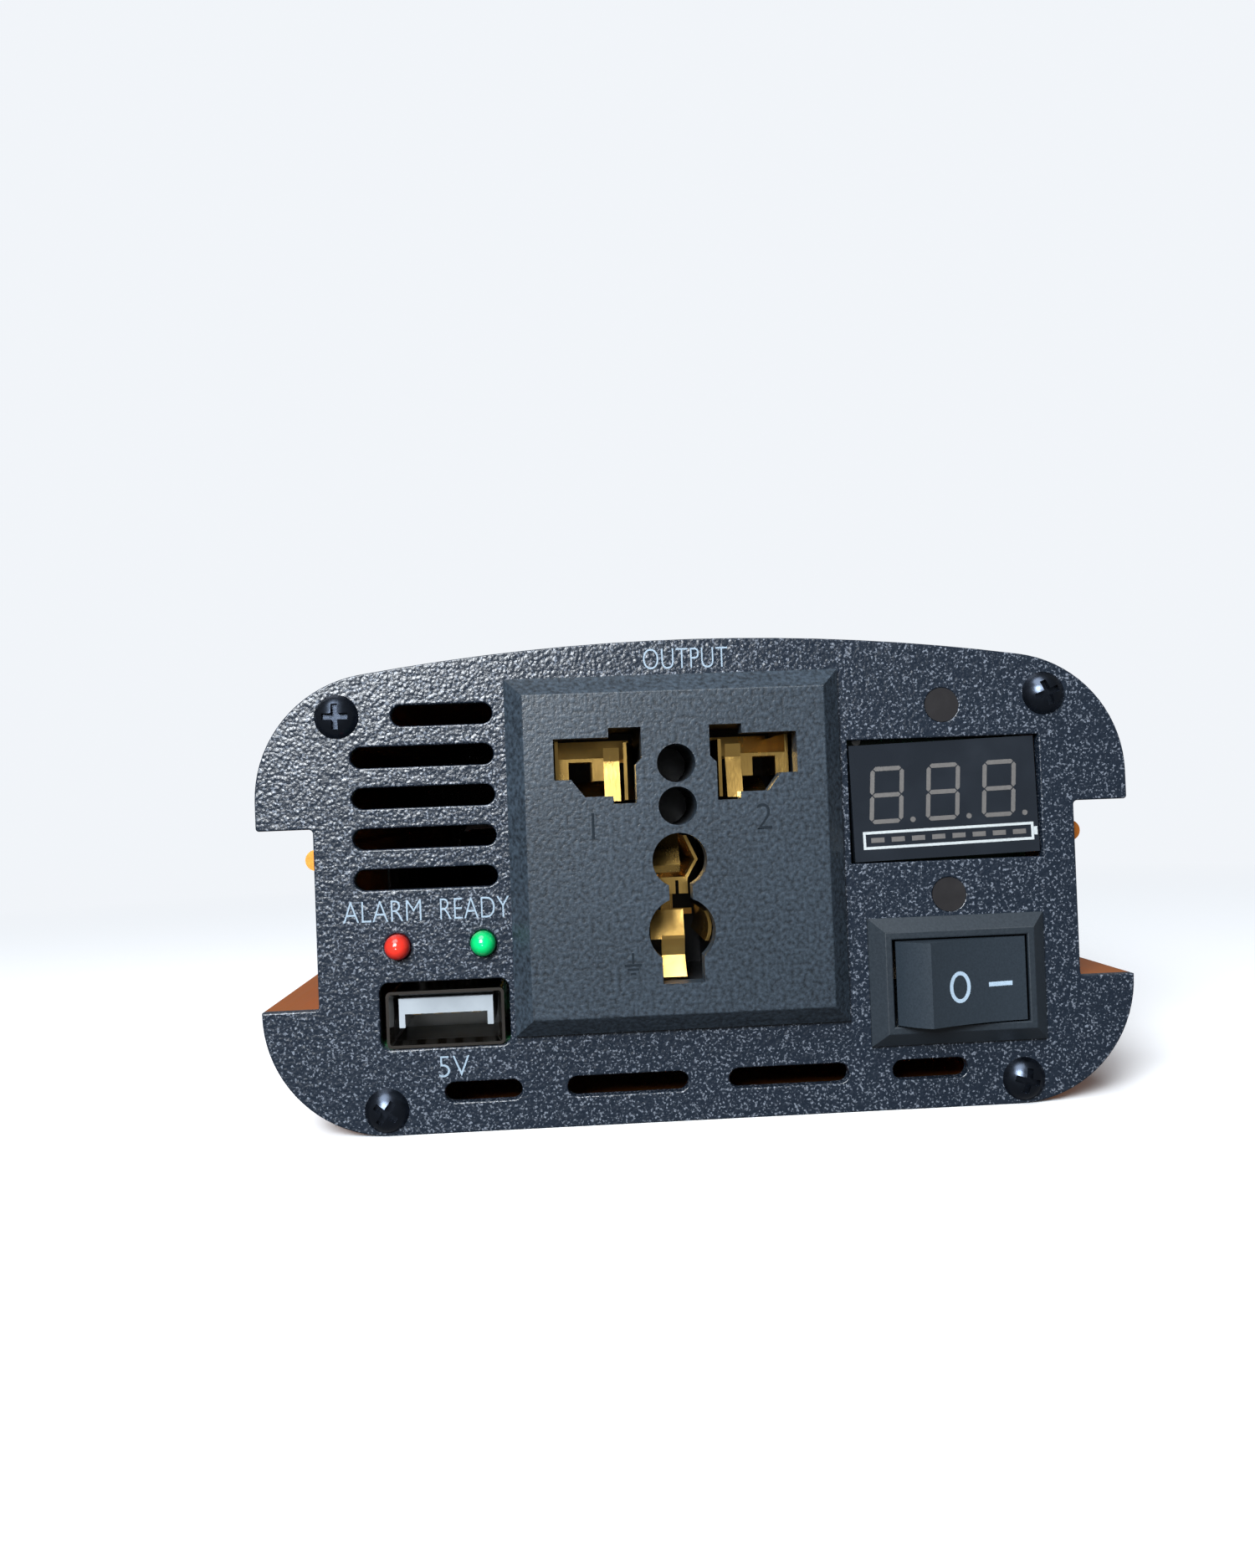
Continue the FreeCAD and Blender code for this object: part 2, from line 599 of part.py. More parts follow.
def make_top_shell():
    """Upper extrusion: an arched roof over two lobes, with a beaded foot on each web."""
    outer = d.corner_radius + d.panel_inset
    inner = outer - d.wall
    cx, cz, roof = corner_x(), high_corner_z(), top_centre_z()
    roof_out = d.top_radius + d.panel_inset
    roof_in = roof_out - d.wall
    out_x, out_z = crown(d.panel_inset)
    in_x, in_z = crown(d.panel_inset - d.wall)
    ledge = up(d.notch_high_up) - d.panel_inset
    bead_top = seam_z + d.bead_radius * 2
    tongue_in = web_in + (d.wall - d.tongue_thick) / 2
    groove_in = tongue_in - d.seam_fit
    groove_out = tongue_in + d.tongue_thick + d.seam_fit
    groove_top = seam_z + d.tongue_tall + d.seam_fit
    lip_in = web_in - d.seam_lip
    half = [
        (0, roof + roof_out),
        (out_x, out_z, 0, roof, -1),
        (cx + outer, cz, cx, cz, -1),
        (cx + outer, ledge),
        (web_out, ledge),
        (web_out, bead_top),
        (web_out, seam_z, web_out, seam_z + d.bead_radius, -1),
        (groove_out, seam_z),
        (groove_out, groove_top),
        (groove_in, groove_top),
        (groove_in, seam_z),
        (lip_in, seam_z),
        (lip_in, bead_top),
        (web_in, bead_top + d.seam_lip),
        (web_in, ledge + d.wall),
        (cx + inner, ledge + d.wall),
        (cx + inner, cz),
        (in_x, in_z, cx, cz, 1),
        (0, roof + roof_in, 0, roof, 1),
    ]
    body = new_body("top_shell_extrusion")
    pad(body, sketch_on(body, "XZ", case_rear * -1, [both_sides(half)]), d.case_length)
    screw_ports(body, d.high_screw_x, up(d.high_screw_up), d.high_port_radius)
    flutes = []
    reach = roof_out + d.flute_radius - d.flute_depth
    for index in range(FLUTES):
        x = d.flute_pitch * (index - (FLUTES - 1) / 2)
        z = roof + root(reach * reach - x * x)
        flutes.append(rod("flute", (x, case_front, z), d.flute_radius, d.case_length))
    node("top_shell", cut("top_shell", body, flutes))


def clamp_screw_spots():
    """Side and y of each screw that clamps the transistors to the webs."""
    spots = []
    for side, row_y in ((-1, d.dc_row_y), (1, d.bridge_row_y)):
        for gap in (0, 1, 2):
            spots.append((side, row_y + d.transistor_pitch * (gap + 0.5)))
    return spots


def clamp_height():
    return d.clamp_low + d.clamp_tall / 2


def clamp_rods(name, low, high, radius):
    """Rods on the clamp screws' axes, from one distance out of the middle plane to another."""
    rods = []
    for side, y in clamp_screw_spots():
        start = low if side > 0 else -high
        rods.append(rod(name, (start, y, clamp_height()), radius, high - low, "X"))
    return rods


def make_bottom_shell():
    """Lower extrusion: a flat floor between two lobes, with slots for the main board."""
    outer = d.corner_radius + d.panel_inset
    inner = outer - d.wall
    cx, cz = corner_x(), low_corner_z()
    ledge = up(d.notch_low_up) + d.panel_inset
    under = ledge - d.wall
    drop = cz - under
    tongue_in = web_in + (d.wall - d.tongue_thick) / 2
    tongue_out = tongue_in + d.tongue_thick
    half = [
        (0, 0),
        (cx, 0),
        (cx + outer, cz, cx, cz, 1),
        (cx + outer, ledge),
        (web_out, ledge),
        (web_out, seam_z),
        (tongue_out, seam_z),
        (tongue_out, seam_z + d.tongue_tall),
        (tongue_in, seam_z + d.tongue_tall),
        (tongue_in, seam_z),
        (web_in, seam_z),
        (web_in, under),
        (cx + root(inner * inner - drop * drop), under),
        (cx, d.wall, cx, cz, -1),
        (0, d.wall),
    ]
    body = new_body("bottom_shell_extrusion")
    pad(body, sketch_on(body, "XZ", case_rear * -1, [both_sides(half)]), d.case_length)
    screw_ports(body, d.low_screw_x, up(d.low_screw_up), d.low_port_radius)
    middle = outer - d.wall / 2
    rails = []
    for low in (d.board_low - d.rail_thick, board_top + d.rail_fit):
        fall = cz - low - d.rail_thick / 2
        tip = cx + root(middle * middle - fall * fall)
        rails.append(rectangle(d.rail_reach, tip, low, low + d.rail_thick))
        rails.append(rectangle(-tip, -d.rail_reach, low, low + d.rail_thick))
    pad(body, sketch_on(body, "XZ", case_rear * -1, rails), d.case_length)
    holes = clamp_rods("clamp_hole", web_in - 1, web_out + 1, d.screw_radius)
    node("bottom_shell", cut("bottom_shell", body, holes))


def panel_outline():
    cx, low, high, roof = corner_x(), low_corner_z(), high_corner_z(), top_centre_z()
    edge = d.panel_width / 2
    notch = edge - d.notch_depth
    meet_x, meet_z = crown(Size(0))
    return both_sides([
        (0, up(0)),
        (cx, up(0)),
        (edge, low, cx, low, 1),
        (edge, up(d.notch_low_up)),
        (notch, up(d.notch_low_up)),
        (notch, up(d.notch_high_up)),
        (edge, up(d.notch_high_up)),
        (edge, high),
        (meet_x, meet_z, cx, high, 1),
        (0, roof + d.top_radius, 0, roof, 1),
    ])


def low_vents():
    """The four slots near the lower edge of a panel."""
    z = up(d.low_vent_up)
    slots = []
    for middle, long in ((d.inner_vent_x, d.inner_vent_long), (d.outer_vent_x, d.outer_vent_long)):
        slots.append(slot(middle - long / 2, middle + long / 2, z, d.low_vent_tall))
        slots.append(slot(-middle - long / 2, -middle + long / 2, z, d.low_vent_tall))
    return slots


def plain_panel(name, face):
    """A panel blank whose outer face is at the given y, with its four screw holes."""
    body = new_body(name)
    level = face * -1 - d.panel_thick if face.value < 0 else face * -1
    pad(body, sketch_on(body, "XZ", level, [panel_outline()]), d.panel_thick)
    holes = [(side * x, z, d.screw_radius + d.cutout_fit) for x, z, side in screw_spots()]
    pierce(body, level, circles=holes)
    return body, level


def screw_spots():
    spots = []
    for side in (-1, 1):
        spots.append((d.high_screw_x, up(d.high_screw_up), side))
        spots.append((d.low_screw_x, up(d.low_screw_up), side))
    return spots


def pierce(body, level, outlines=(), circles=()):
    """Cut outlines through a panel."""
    pocket(body, sketch_on(body, "XZ", level, outlines, circles), d.panel_thick, True)


def soften_panel(body):
    """Round the notches' corners, which a punch leaves."""
    notch = d.panel_width / 2 - d.notch_depth
    tip = d.panel_width / 2
    low, high = up(d.notch_low_up), up(d.notch_high_up)
    inner = [(notch, low), (notch, high), (-notch, low), (-notch, high)]
    round_edges(body, edges_along(body.Shape, inner), d.notch_fillet)
    round_edges(body, edges_along(body.Shape, [(tip, high), (-tip, high)]), d.tip_fillet)


def make_front_panel():
    body, level = plain_panel("front_panel", front_face)
    vents = []
    for index in range(SIDE_VENTS):
        left = d.side_vent_left if index else d.top_vent_left
        z = up(d.side_vent_up) - d.side_vent_pitch * index
        vents.append(slot(left, d.side_vent_right, z, d.side_vent_tall))
    pierce(body, level, vents + low_vents())
    wide = d.housing_wide / 2 + d.cutout_fit
    tall = d.housing_tall / 2 + d.cutout_fit
    middle = up(d.socket_up)
    socket = rectangle(d.socket_x - wide, d.socket_x + wide, middle - tall, middle + tall)
    wide = d.switch_body_wide / 2 + d.cutout_fit
    tall = d.switch_body_tall / 2 + d.cutout_fit
    middle = up(d.switch_up)
    switch = rectangle(d.switch_x - wide, d.switch_x + wide, middle - tall, middle + tall)
    left, right = d.display_x - d.window_wide / 2, d.display_x + d.window_wide / 2
    low, high = up(d.display_up) - d.window_tall / 2, up(d.display_up) + d.window_tall / 2
    display = rectangle(left, right, low, high)
    left, right = d.usb_x - d.usb_window_wide / 2, d.usb_x + d.usb_window_wide / 2
    usb = rounded(left, right, up(d.usb_window_low_up), up(d.usb_window_high_up), d.usb_window_round)
    pierce(body, level, [socket, switch, display, usb])
    lamp_hole = d.lamp_radius + d.lamp_fit
    posts = [(d.post_x, up(d.post_high_up), d.post_radius), (d.post_x, up(d.post_low_up), d.post_radius)]
    lamps = [(d.fault_x, up(d.lamp_up), lamp_hole), (d.power_x, up(d.lamp_up), lamp_hole)]
    pierce(body, level, circles=posts + lamps)
    soften_panel(body)
    round_edges(body, [flat_face(body.Shape, front_face)], d.panel_edge)
    node("front_panel", body)


def fan_hole_spots():
    reach = d.fan_hole_pitch / 2
    return [(d.fan_x + reach * i, up(d.fan_up) + reach * j) for i in (-1, 1) for j in (-1, 1)]


def make_rear_panel():
    body, level = plain_panel("rear_panel", rear_face)
    screws = [(x, z, d.fan_screw_radius + d.cutout_fit) for x, z in fan_hole_spots()]
    sleeves = [(x, up(d.post_up), d.sleeve_radius + d.sleeve_fit) for x in (d.positive_x, d.negative_x)]
    openings = [(d.fan_x, up(d.fan_up), d.fan_bore)]
    pierce(body, level, circles=screws + sleeves + openings)
    pierce(body, level, low_vents())
    soften_panel(body)
    round_edges(body, [flat_face(body.Shape, rear_face)], d.panel_edge)
    node("rear_panel", body)


def pan_screw(name, radius, length, head_radius, head_tall):
    """A cross-head screw along Y; the underside of its head is at y = 0 and its shank runs to +Y."""
    body = new_body(name)
    dome = (head_radius * head_radius + head_tall * head_tall) / (head_tall * 2)
    outline = [
        (0, length),
        (0, -head_tall),
        (head_radius, 0, 0, dome - head_tall, 1),
        (radius, 0),
        (radius, length - radius / 2),
        (radius / 2, length),
    ]
    revolve(body, sketch_on(body, "XY", 0, [outline]))
    long, wide = d.recess_long / 2, d.recess_wide / 2
    for x, z in ((long, wide), (wide, long)):
        sketch = sketch_on(body, "XZ", head_tall, [rectangle(-x, x, -z, z)])
        pocket(body, sketch, d.recess_deep)
    return body


def make_panel_screws():
    screw = pan_screw("panel_screw", d.screw_radius, d.screw_reach + d.panel_thick,
                      d.screw_head_radius, d.screw_head_tall)
    front = [copy(screw, side * x, front_face, z, (0, 1, 0), d.recess_turn * index)
             for index, (x, z, side) in enumerate(screw_spots())]
    rear = [copy(screw, side * x, rear_face, z, (0, 0, 1), 180) for x, z, side in screw_spots()]
    node("panel_screws", group("panel_screws", front + rear))


# ---- mains socket ----

def pole_outline(side):
    """One of the two upper apertures, for flat, round and slanted pins."""
    x = [d.socket_x + offset * side for offset in (
        d.pole_outer, d.pole_mid, d.pole_inner, d.pole_neck, d.pole_foot, d.pole_step)]
    points = [
        (x[0], up(d.pole_flat_high_up)),
        (x[1], up(d.pole_flat_high_up)),
        (x[1], up(d.pole_high_up)),
        (x[2], up(d.pole_high_up)),
        (x[2], up(d.pole_neck_up)),
        (x[3], up(d.pole_neck_up) - (d.pole_neck - d.pole_inner)),
        (x[3], up(d.pole_low_up)),
        (x[1] - d.pole_jog * side, up(d.pole_low_up)),
        (x[1] - d.pole_jog * side, up(d.pole_shoulder_up)),
        (x[4], up(d.pole_shoulder_up)),
        (x[5], up(d.pole_flat_low_up)),
        (x[0], up(d.pole_flat_low_up)),
    ]
    return points


def make_socket_faceplate():
    body = new_body("socket_faceplate")
    wide, tall = d.socket_wide / 2, d.socket_tall / 2
    middle = up(d.socket_up)
    base = rectangle(d.socket_x - wide, d.socket_x + wide, middle - tall, middle + tall)
    level = front_face * -1
    pad(body, sketch_on(body, "XZ", level, [base]), d.socket_rim)
    wide, tall = wide - d.socket_bevel, tall - d.socket_bevel
    face = rectangle(d.socket_x - wide, d.socket_x + wide, middle - tall, middle + tall)
    loft(body, [sketch_on(body, "XZ", level + d.socket_rim, [base]),
                sketch_on(body, "XZ", level + d.socket_proud, [face])])
    pocket(body, sketch_on(body, "XZ", level + d.socket_proud, [pole_outline(-1), pole_outline(1)]),
           d.socket_proud)
    keys = [(d.socket_x, up(d.key_high_up), d.key_hole_radius),
            (d.socket_x, up(d.key_low_up), d.key_hole_radius)]
    pocket(body, sketch_on(body, "XZ", level + d.socket_proud, circles=keys), d.socket_proud)
    for z, radius in ((d.earth_high_up, d.earth_high_radius), (d.earth_low_up, d.earth_low_radius)):
        circle = (d.socket_x, up(z), radius)
        pocket(body, sketch_on(body, "XZ", level + d.socket_proud, circles=[circle]), d.socket_proud)
    for wide, low, high in ((d.earth_neck_wide, d.earth_low_up, d.earth_high_up),
                            (d.earth_slot_wide, d.earth_slot_up, d.earth_low_up)):
        sides = rectangle(d.socket_x - wide / 2, d.socket_x + wide / 2, up(low), up(high))
        pocket(body, sketch_on(body, "XZ", level + d.socket_proud, [sides]), d.socket_proud)
    round_edges(body, rim_edges(body.Shape, front_face - d.socket_proud), d.moulded_edge)
    node("socket_faceplate", body)


def chamber_spans():
    """x and z spans of the three chambers behind the apertures: live, neutral and earth."""
    gap = d.contact_gap
    near, far = d.pole_inner - gap / 2, d.pole_outer + gap
    low, high = up(d.pole_low_up) - gap, up(d.pole_high_up) + gap
    earth = d.earth_low_radius + gap
    return (
        ((d.socket_x - far, d.socket_x - near), (low, high)),
        ((d.socket_x + near, d.socket_x + far), (low, high)),
        ((d.socket_x - earth, d.socket_x + earth),
         (up(d.earth_slot_up) - gap, up(d.earth_high_up) + d.earth_high_radius + gap)),
    )


def make_socket_housing():
    """The box behind the faceplate that holds the contacts, with a snap on top and below."""
    back = front_face + d.housing_deep
    wide, tall = d.housing_wide / 2, d.housing_tall / 2
    middle = up(d.socket_up)
    body = new_body("socket_housing")
    walls = rectangle(d.socket_x - wide, d.socket_x + wide, middle - tall, middle + tall)
    pad(body, sketch_on(body, "XZ", back * -1, [walls]), d.housing_deep)
    chambers = [rectangle(x[0], x[1], z[0], z[1]) for x, z in chamber_spans()]
    pocket(body, sketch_on(body, "XZ", back * -1, chambers), d.housing_deep, True)
    keys = [(d.socket_x, up(d.key_high_up), d.key_hole_radius),
            (d.socket_x, up(d.key_low_up), d.key_hole_radius)]
    pocket(body, sketch_on(body, "XZ", front_face * -1, circles=keys), d.housing_deep / 2)
    near, far = d.socket_x - d.snap_wide / 2, d.socket_x + d.snap_wide / 2
    snaps = [rectangle(near, far, middle + tall, middle + tall + d.snap_proud),
             rectangle(near, far, middle - tall - d.snap_proud, middle - tall)]
    pad(body, sketch_on(body, "XZ", (case_front + d.snap_long) * -1, snaps), d.snap_long)
    node("socket_housing", body)


def contact_tails():
    """x, z of the three tails that come out of the socket's back cover."""
    tails = []
    for x, z in chamber_spans():
        tails.append(((x[0] + x[1]) / 2, (z[0] + z[1]) / 2))
    return tails


def make_socket_back_cover():
    back = front_face + d.housing_deep + d.cover_thick
    wide, tall = d.housing_wide / 2, d.housing_tall / 2
    middle = up(d.socket_up)
    body = new_body("socket_back_cover")
    walls = rectangle(d.socket_x - wide, d.socket_x + wide, middle - tall, middle + tall)
    pad(body, sketch_on(body, "XZ", back * -1, [walls]), d.cover_thick)
    slots = []
    for x, z in contact_tails():
        half = d.tail_wide / 2
        slots.append(rectangle(x - d.contact_thick / 2, x + d.contact_thick / 2, z - half, z + half))
    pocket(body, sketch_on(body, "XZ", back * -1, slots), d.cover_thick, True)
    node("socket_back_cover", body)


def layer(body, plane, outline, low, high):
    """Pad an outline between two levels of the axis across its plane."""
    level = high * -1 if plane == "XZ" else low
    pad(body, sketch_on(body, plane, level, [outline]), size(high) - low)


def strip(points):
    """The outline of a leaf seen edge-on: points (y, z) down its front, thickened to the back."""
    return points + [(y + d.leaf_thick, z) for y, z in reversed(points)]


def contact_depths():
    """y of the leaves' front ends, of the place where they grow thin, and of the back strip."""
    front = front_face - d.socket_proud + d.contact_recess
    return front, front + d.leaf_deep, front_face + d.housing_deep


def add_tail(body, x, z, back):
    """A solder tail through the back cover."""
    thick = d.contact_thick / 2
    tail = rectangle(x - thick, x + thick, back, back + d.cover_thick + d.tail_out)
    layer(body, "XY", tail, z - d.tail_wide / 2, z + d.tail_wide / 2)


def pole_contact(side, tail):
    """A folded spring: a back strip, a leaf on each wall, and leaves across, in front and below."""
    front, deep, back = contact_depths()
    thick, bend = d.leaf_thick, d.leaf_bend
    body = new_body("pole_contact")

    def x(offset):
        return d.socket_x + offset * side

    def between(near, far):
        return (x(near), x(far)) if side > 0 else (x(far), x(near))

    def upright(near, far, outline):
        layer(body, "YZ", outline, *between(near, far))

    inner, outer = d.inner_leaf_near, d.outer_leaf_near
    back_strip = rectangle(x(inner), x(outer + thick), up(d.back_strip_low_up), up(d.back_strip_high_up))
    layer(body, "XZ", back_strip, back - d.contact_thick, back)
    add_tail(body, tail[0], tail[1], back)
    splay = inner + bend * 2
    wall = [(x(inner), back), (x(inner), deep), (x(splay), front), (x(splay + thick), front),
            (x(inner + thick), deep), (x(inner + thick), back)]
    layer(body, "XY", wall, up(d.inner_leaf_low_up), up(d.inner_leaf_high_up))
    wall = rectangle(x(outer), x(outer + thick), front + bend, back)
    layer(body, "XY", wall, up(d.outer_leaf_low_up), up(d.outer_leaf_high_up))
    near, far = d.front_leaf_far, outer + thick
    cross = [(x(inner), deep), (x(near), deep), (x(near), front + bend), (x(far), front + bend),
             (x(far), deep + thick), (x(inner), deep + thick)]
    layer(body, "XY", cross, up(d.cross_leaf_up), up(d.cross_leaf_up) + thick)
    for near, far in ((d.front_leaf_far - thick, d.near_tab_far), (d.far_tab_near, outer)):
        tab = rectangle(x(near), x(far), up(d.tab_low_up), up(d.cross_leaf_up))
        layer(body, "XZ", tab, front + bend, front + bend + thick)
    low, high = up(d.front_leaf_low_up), up(d.front_leaf_high_up)
    leaf = strip([(front + bend / 2, high), (front + bend, up(d.cross_leaf_up)),
                  (front, up(d.tab_low_up)), (front - bend, low)])
    upright(d.front_leaf_near, d.front_leaf_far, leaf)
    floor = strip([(front + bend * 2, up(d.inner_leaf_low_up)), (deep, up(d.tab_low_up))])
    upright(inner, d.floor_leaf_far, floor)
    return body


def earth_contact(tail):
    """A folded spring on an upright back strip: a dome, a hook, a ledge, a tongue and a shield."""
    front, deep, back = contact_depths()
    thick, bend = d.leaf_thick, d.leaf_bend
    half = d.earth_strip_half
    body = new_body("earth_contact")

    def x(offset):
        return d.socket_x + offset

    spine = rectangle(x(half * -1), x(half), up(d.earth_strip_low_up), up(d.earth_strip_high_up))
    layer(body, "XZ", spine, back - d.contact_thick, back)
    add_tail(body, tail[0], tail[1], back)

    low, high, middle = up(d.dome_low_up), up(d.dome_high_up), up(d.hook_mid_up)
    arm = rectangle(x(d.dome_left), x(d.hook_right), low, low + thick * 2)
    layer(body, "XZ", arm, back - d.contact_thick, back)
    wall = rectangle(x(d.dome_left), x(d.dome_left + thick), front + bend, back)
    layer(body, "XY", wall, low, middle)
    dome = strip([(front + bend * 3, high), (front + bend, middle + bend), (front, middle - bend),
                  (front + bend, low)])
    layer(body, "YZ", dome, x(d.dome_left), x(d.dome_right))
    hook = [(d.hook_left, d.hook_high_up), (d.hook_right, d.hook_mid_up), (d.hook_left, d.hook_low_up)]
    outline = [(x(u), up(v)) for u, v in hook] + [(x(u + thick), up(v)) for u, v in reversed(hook)]
    layer(body, "XZ", outline, front + bend / 2, back)

    ledge = rectangle(front + bend, back, up(d.ledge_high_up), up(d.ledge_high_up) + thick)
    layer(body, "YZ", ledge, x(d.ledge_left), x(d.ledge_right))
    for near, far in ((d.ledge_left, thick / -2), (thick / 2, d.ledge_right)):
        tab = rectangle(x(near), x(far), up(d.ledge_low_up), up(d.ledge_high_up) + thick)
        layer(body, "XZ", tab, front + bend, front + bend + thick)

    low, middle, high = up(d.tongue_low_up), up(d.tongue_mid_up), up(d.tongue_high_up)
    shelf = rectangle(front + bend, back, middle - thick, middle)
    layer(body, "YZ", shelf, x(d.tongue_step), x(d.tongue_right))
    upper = strip([(front + bend * 3, high), (front + bend, middle - thick)])
    layer(body, "YZ", upper, x(d.tongue_left), x(d.tongue_right))
    lower = strip([(front + bend, middle), (front + bend * 2, (low + middle) / 2), (front - bend, low)])
    layer(body, "YZ", lower, x(d.tongue_step), x(d.tongue_right))

    inside, outside = d.shield_radius, d.shield_radius + thick
    foot, top, centre = up(d.earth_low_up) - inside / 2, up(d.earth_low_up) + inside / 2, up(d.earth_low_up)
    near = root(inside * inside - inside * inside / 4)
    far = root(outside * outside - inside * inside / 4)
    shield = [(x(near), foot, d.socket_x, centre, -1), (x(far), foot),
              (x(far), top, d.socket_x, centre, 1), (x(near), top)]
    layer(body, "XZ", shield, front + bend, back)
    arm = rectangle(x(half), x(near + thick / 2), centre, centre + thick * 2)
    layer(body, "XZ", arm, back - d.contact_thick, back)
    return body


def make_contacts():
    """Brass contacts for live, neutral and earth, with a solder tail each."""
    tails = contact_tails()
    poles = [pole_contact(-1, tails[0]), pole_contact(1, tails[1])]
    node("pole_contacts", group("pole_contacts", poles))
    node("earth_contact", earth_contact(tails[2]))


# ---- rocker switch ----

def switch_box(wide, tall):
    middle = up(d.switch_up)
    return rectangle(d.switch_x - wide / 2, d.switch_x + wide / 2, middle - tall / 2, middle + tall / 2)


def pivot_y():
    return front_face - d.bezel_proud + d.pivot_below_rim


def chamber_back():
    return front_face + d.switch_body_deep - d.switch_base


def make_switch_housing():
    """Bezel and body in one moulding, with a bore in each side for the rocker's trunnions."""
    level = front_face * -1
    body = new_body("switch_housing")
    box = switch_box(d.switch_body_wide, d.switch_body_tall)
    back = front_face + d.switch_body_deep
    pad(body, sketch_on(body, "XZ", back * -1, [box]), d.switch_body_deep)
    base = switch_box(d.bezel_wide, d.bezel_tall)
    pad(body, sketch_on(body, "XZ", level, [base]), d.bezel_rim)
    rim = switch_box(d.rim_wide, d.rim_tall)
    loft(body, [sketch_on(body, "XZ", level + d.bezel_rim, [base]),
                sketch_on(body, "XZ", level + d.bezel_proud, [rim])])
    mouth = sketch_on(body, "XZ", level + d.bezel_proud, [switch_box(d.mouth_wide, d.mouth_tall)])
    pocket(body, mouth, d.lip_thick)
    throat = [switch_box(d.throat_wide, d.chamber_tall)]
    pocket(body, sketch_on(body, "XZ", level + d.bezel_proud - d.lip_thick, throat), d.throat_deep)
    chamber_front = level + d.bezel_proud - d.lip_thick - d.throat_deep
    chamber = [switch_box(d.chamber_wide, d.chamber_tall)]
    pocket(body, sketch_on(body, "XZ", chamber_front, chamber), chamber_front + chamber_back())
    bore = [(d.switch_x, pivot_y(), d.trunnion_radius + d.trunnion_fit)]
    half = d.chamber_tall / 2 + d.trunnion_out
    pocket(body, sketch_on(body, "XY", up(d.switch_up) + half, circles=bore), half * 2)
    slots = []
    for x in switch_blades():
        thick = d.blade_thick / 2
        slots.append(rectangle(x - thick, x + thick, up(d.switch_up) - d.blade_wide / 2,
                               up(d.switch_up) + d.blade_wide / 2))
    pocket(body, sketch_on(body, "XZ", back * -1, slots), d.switch_base, True)
    round_edges(body, [flat_face(body.Shape, front_face - d.bezel_proud)], d.moulded_edge)
    node("switch_housing", body)


def switch_blades():
    return d.switch_x - d.blade_spacing, d.switch_x


def make_switch_rocker():
    """The rocker about its own pivot, with a dished face, then tilted to its rest position."""
    reach = d.rocker_reach
    corner = reach * math.cos(math.radians(d.rocker_corner_turn.value))
    edge = math.radians(d.rocker_edge_turn.value)
    edge_x, edge_y = reach * math.cos(edge), reach * math.sin(edge)
    dish = (corner * corner + d.rocker_dish * d.rocker_dish) / (d.rocker_dish * 2)
    leg = d.plunger_radius + d.plunger_skin
    outline = [
        (-corner, -corner, 0, 0, 1),
        (corner, -corner, 0, d.rocker_dish - corner - dish, -1),
        (edge_x, -edge_y, 0, 0, 1),
        (edge_x - d.rocker_slope, d.rocker_floor),
        (leg, d.rocker_floor),
        (leg, d.rocker_leg_low),
        (-leg, d.rocker_leg_low),
        (-leg, d.rocker_floor),
        (d.rocker_slope - edge_x, d.rocker_floor),
        (-edge_x, -edge_y),
    ]
    tall = d.mouth_tall - d.rocker_gap * 2
    body = new_body("switch_rocker")
    pad(body, sketch_on(body, "XY", tall / -2, [outline]), tall)
    half = d.chamber_tall / 2 + d.trunnion_out - d.rocker_gap
    pad(body, sketch_on(body, "XY", half * -1, circles=[(0, 0, d.trunnion_radius)]), half * 2)
    hole = [(0, 0, d.plunger_radius)]
    pocket(body, sketch_on(body, "XZ", d.rocker_leg_low * -1, circles=hole), d.plunger_bore, True)
    turn(body, (0, 0, 1), d.rocker_rest)
    node("switch_rocker", place(body, d.switch_x, pivot_y(), up(d.switch_up)))
    plunger = new_body("switch_plunger")
    low = d.rocker_leg_low - d.plunger_bore
    tip = d.rocker_leg_low + d.plunger_out
    profile = [(0, low), (d.plunger_radius, low), (d.plunger_radius, tip - d.plunger_radius),
               (0, tip, 0, tip - d.plunger_radius, 1)]
    revolve(plunger, sketch_on(plunger, "XY", 0, [profile]))
    turn(plunger, (0, 0, 1), d.rocker_rest)
    node("switch_plunger", place(plunger, d.switch_x, pivot_y(), up(d.switch_up)))


def make_switch_arm():
    """The seesaw contact under the plunger; it rests tilted the other way from the rocker."""
    body = new_body("switch_arm")
    half, thick = d.arm_long / 2, d.arm_thick / 2
    low, high = d.arm_tall / -2, d.arm_tall / 2
    layer(body, "XY", rectangle(-half, half, -thick, thick), low, high)
    rib = [(d.fulcrum_radius, 0), (-d.fulcrum_radius, 0, 0, 0, 1)]
    layer(body, "XY", rib, low, high)
    turn(body, (0, 0, 1), -d.arm_rest)
    node("switch_arm", place(body, d.switch_x, pivot_y() + d.arm_below_pivot, up(d.switch_up)))


def make_switch_terminals():
    """Two blades through the switch's base; the middle one carries the seesaw."""
    tall = up(d.switch_up) - d.blade_wide / 2, up(d.switch_up) + d.blade_wide / 2
    thick = d.blade_thick / 2
    rear = front_face + d.switch_body_deep + d.blade_out
    side_x, middle_x = switch_blades()
    side = block("side_blade", (side_x - thick, side_x + thick), (chamber_back(), rear), tall)
    start = pivot_y() + d.arm_below_pivot + d.arm_thick / 2 + d.arm_gap
    middle = block("middle_blade", (middle_x - thick, middle_x + thick), (start, rear), tall)
    axis = (middle_x, pivot_y() + d.arm_below_pivot, tall[0])
    seat = rod("fulcrum_seat", axis, d.fulcrum_radius + d.fulcrum_fit, d.blade_wide, "Z")
    node("switch_terminals", group("switch_terminals", [side, cut("seated_blade", middle, [seat])]))


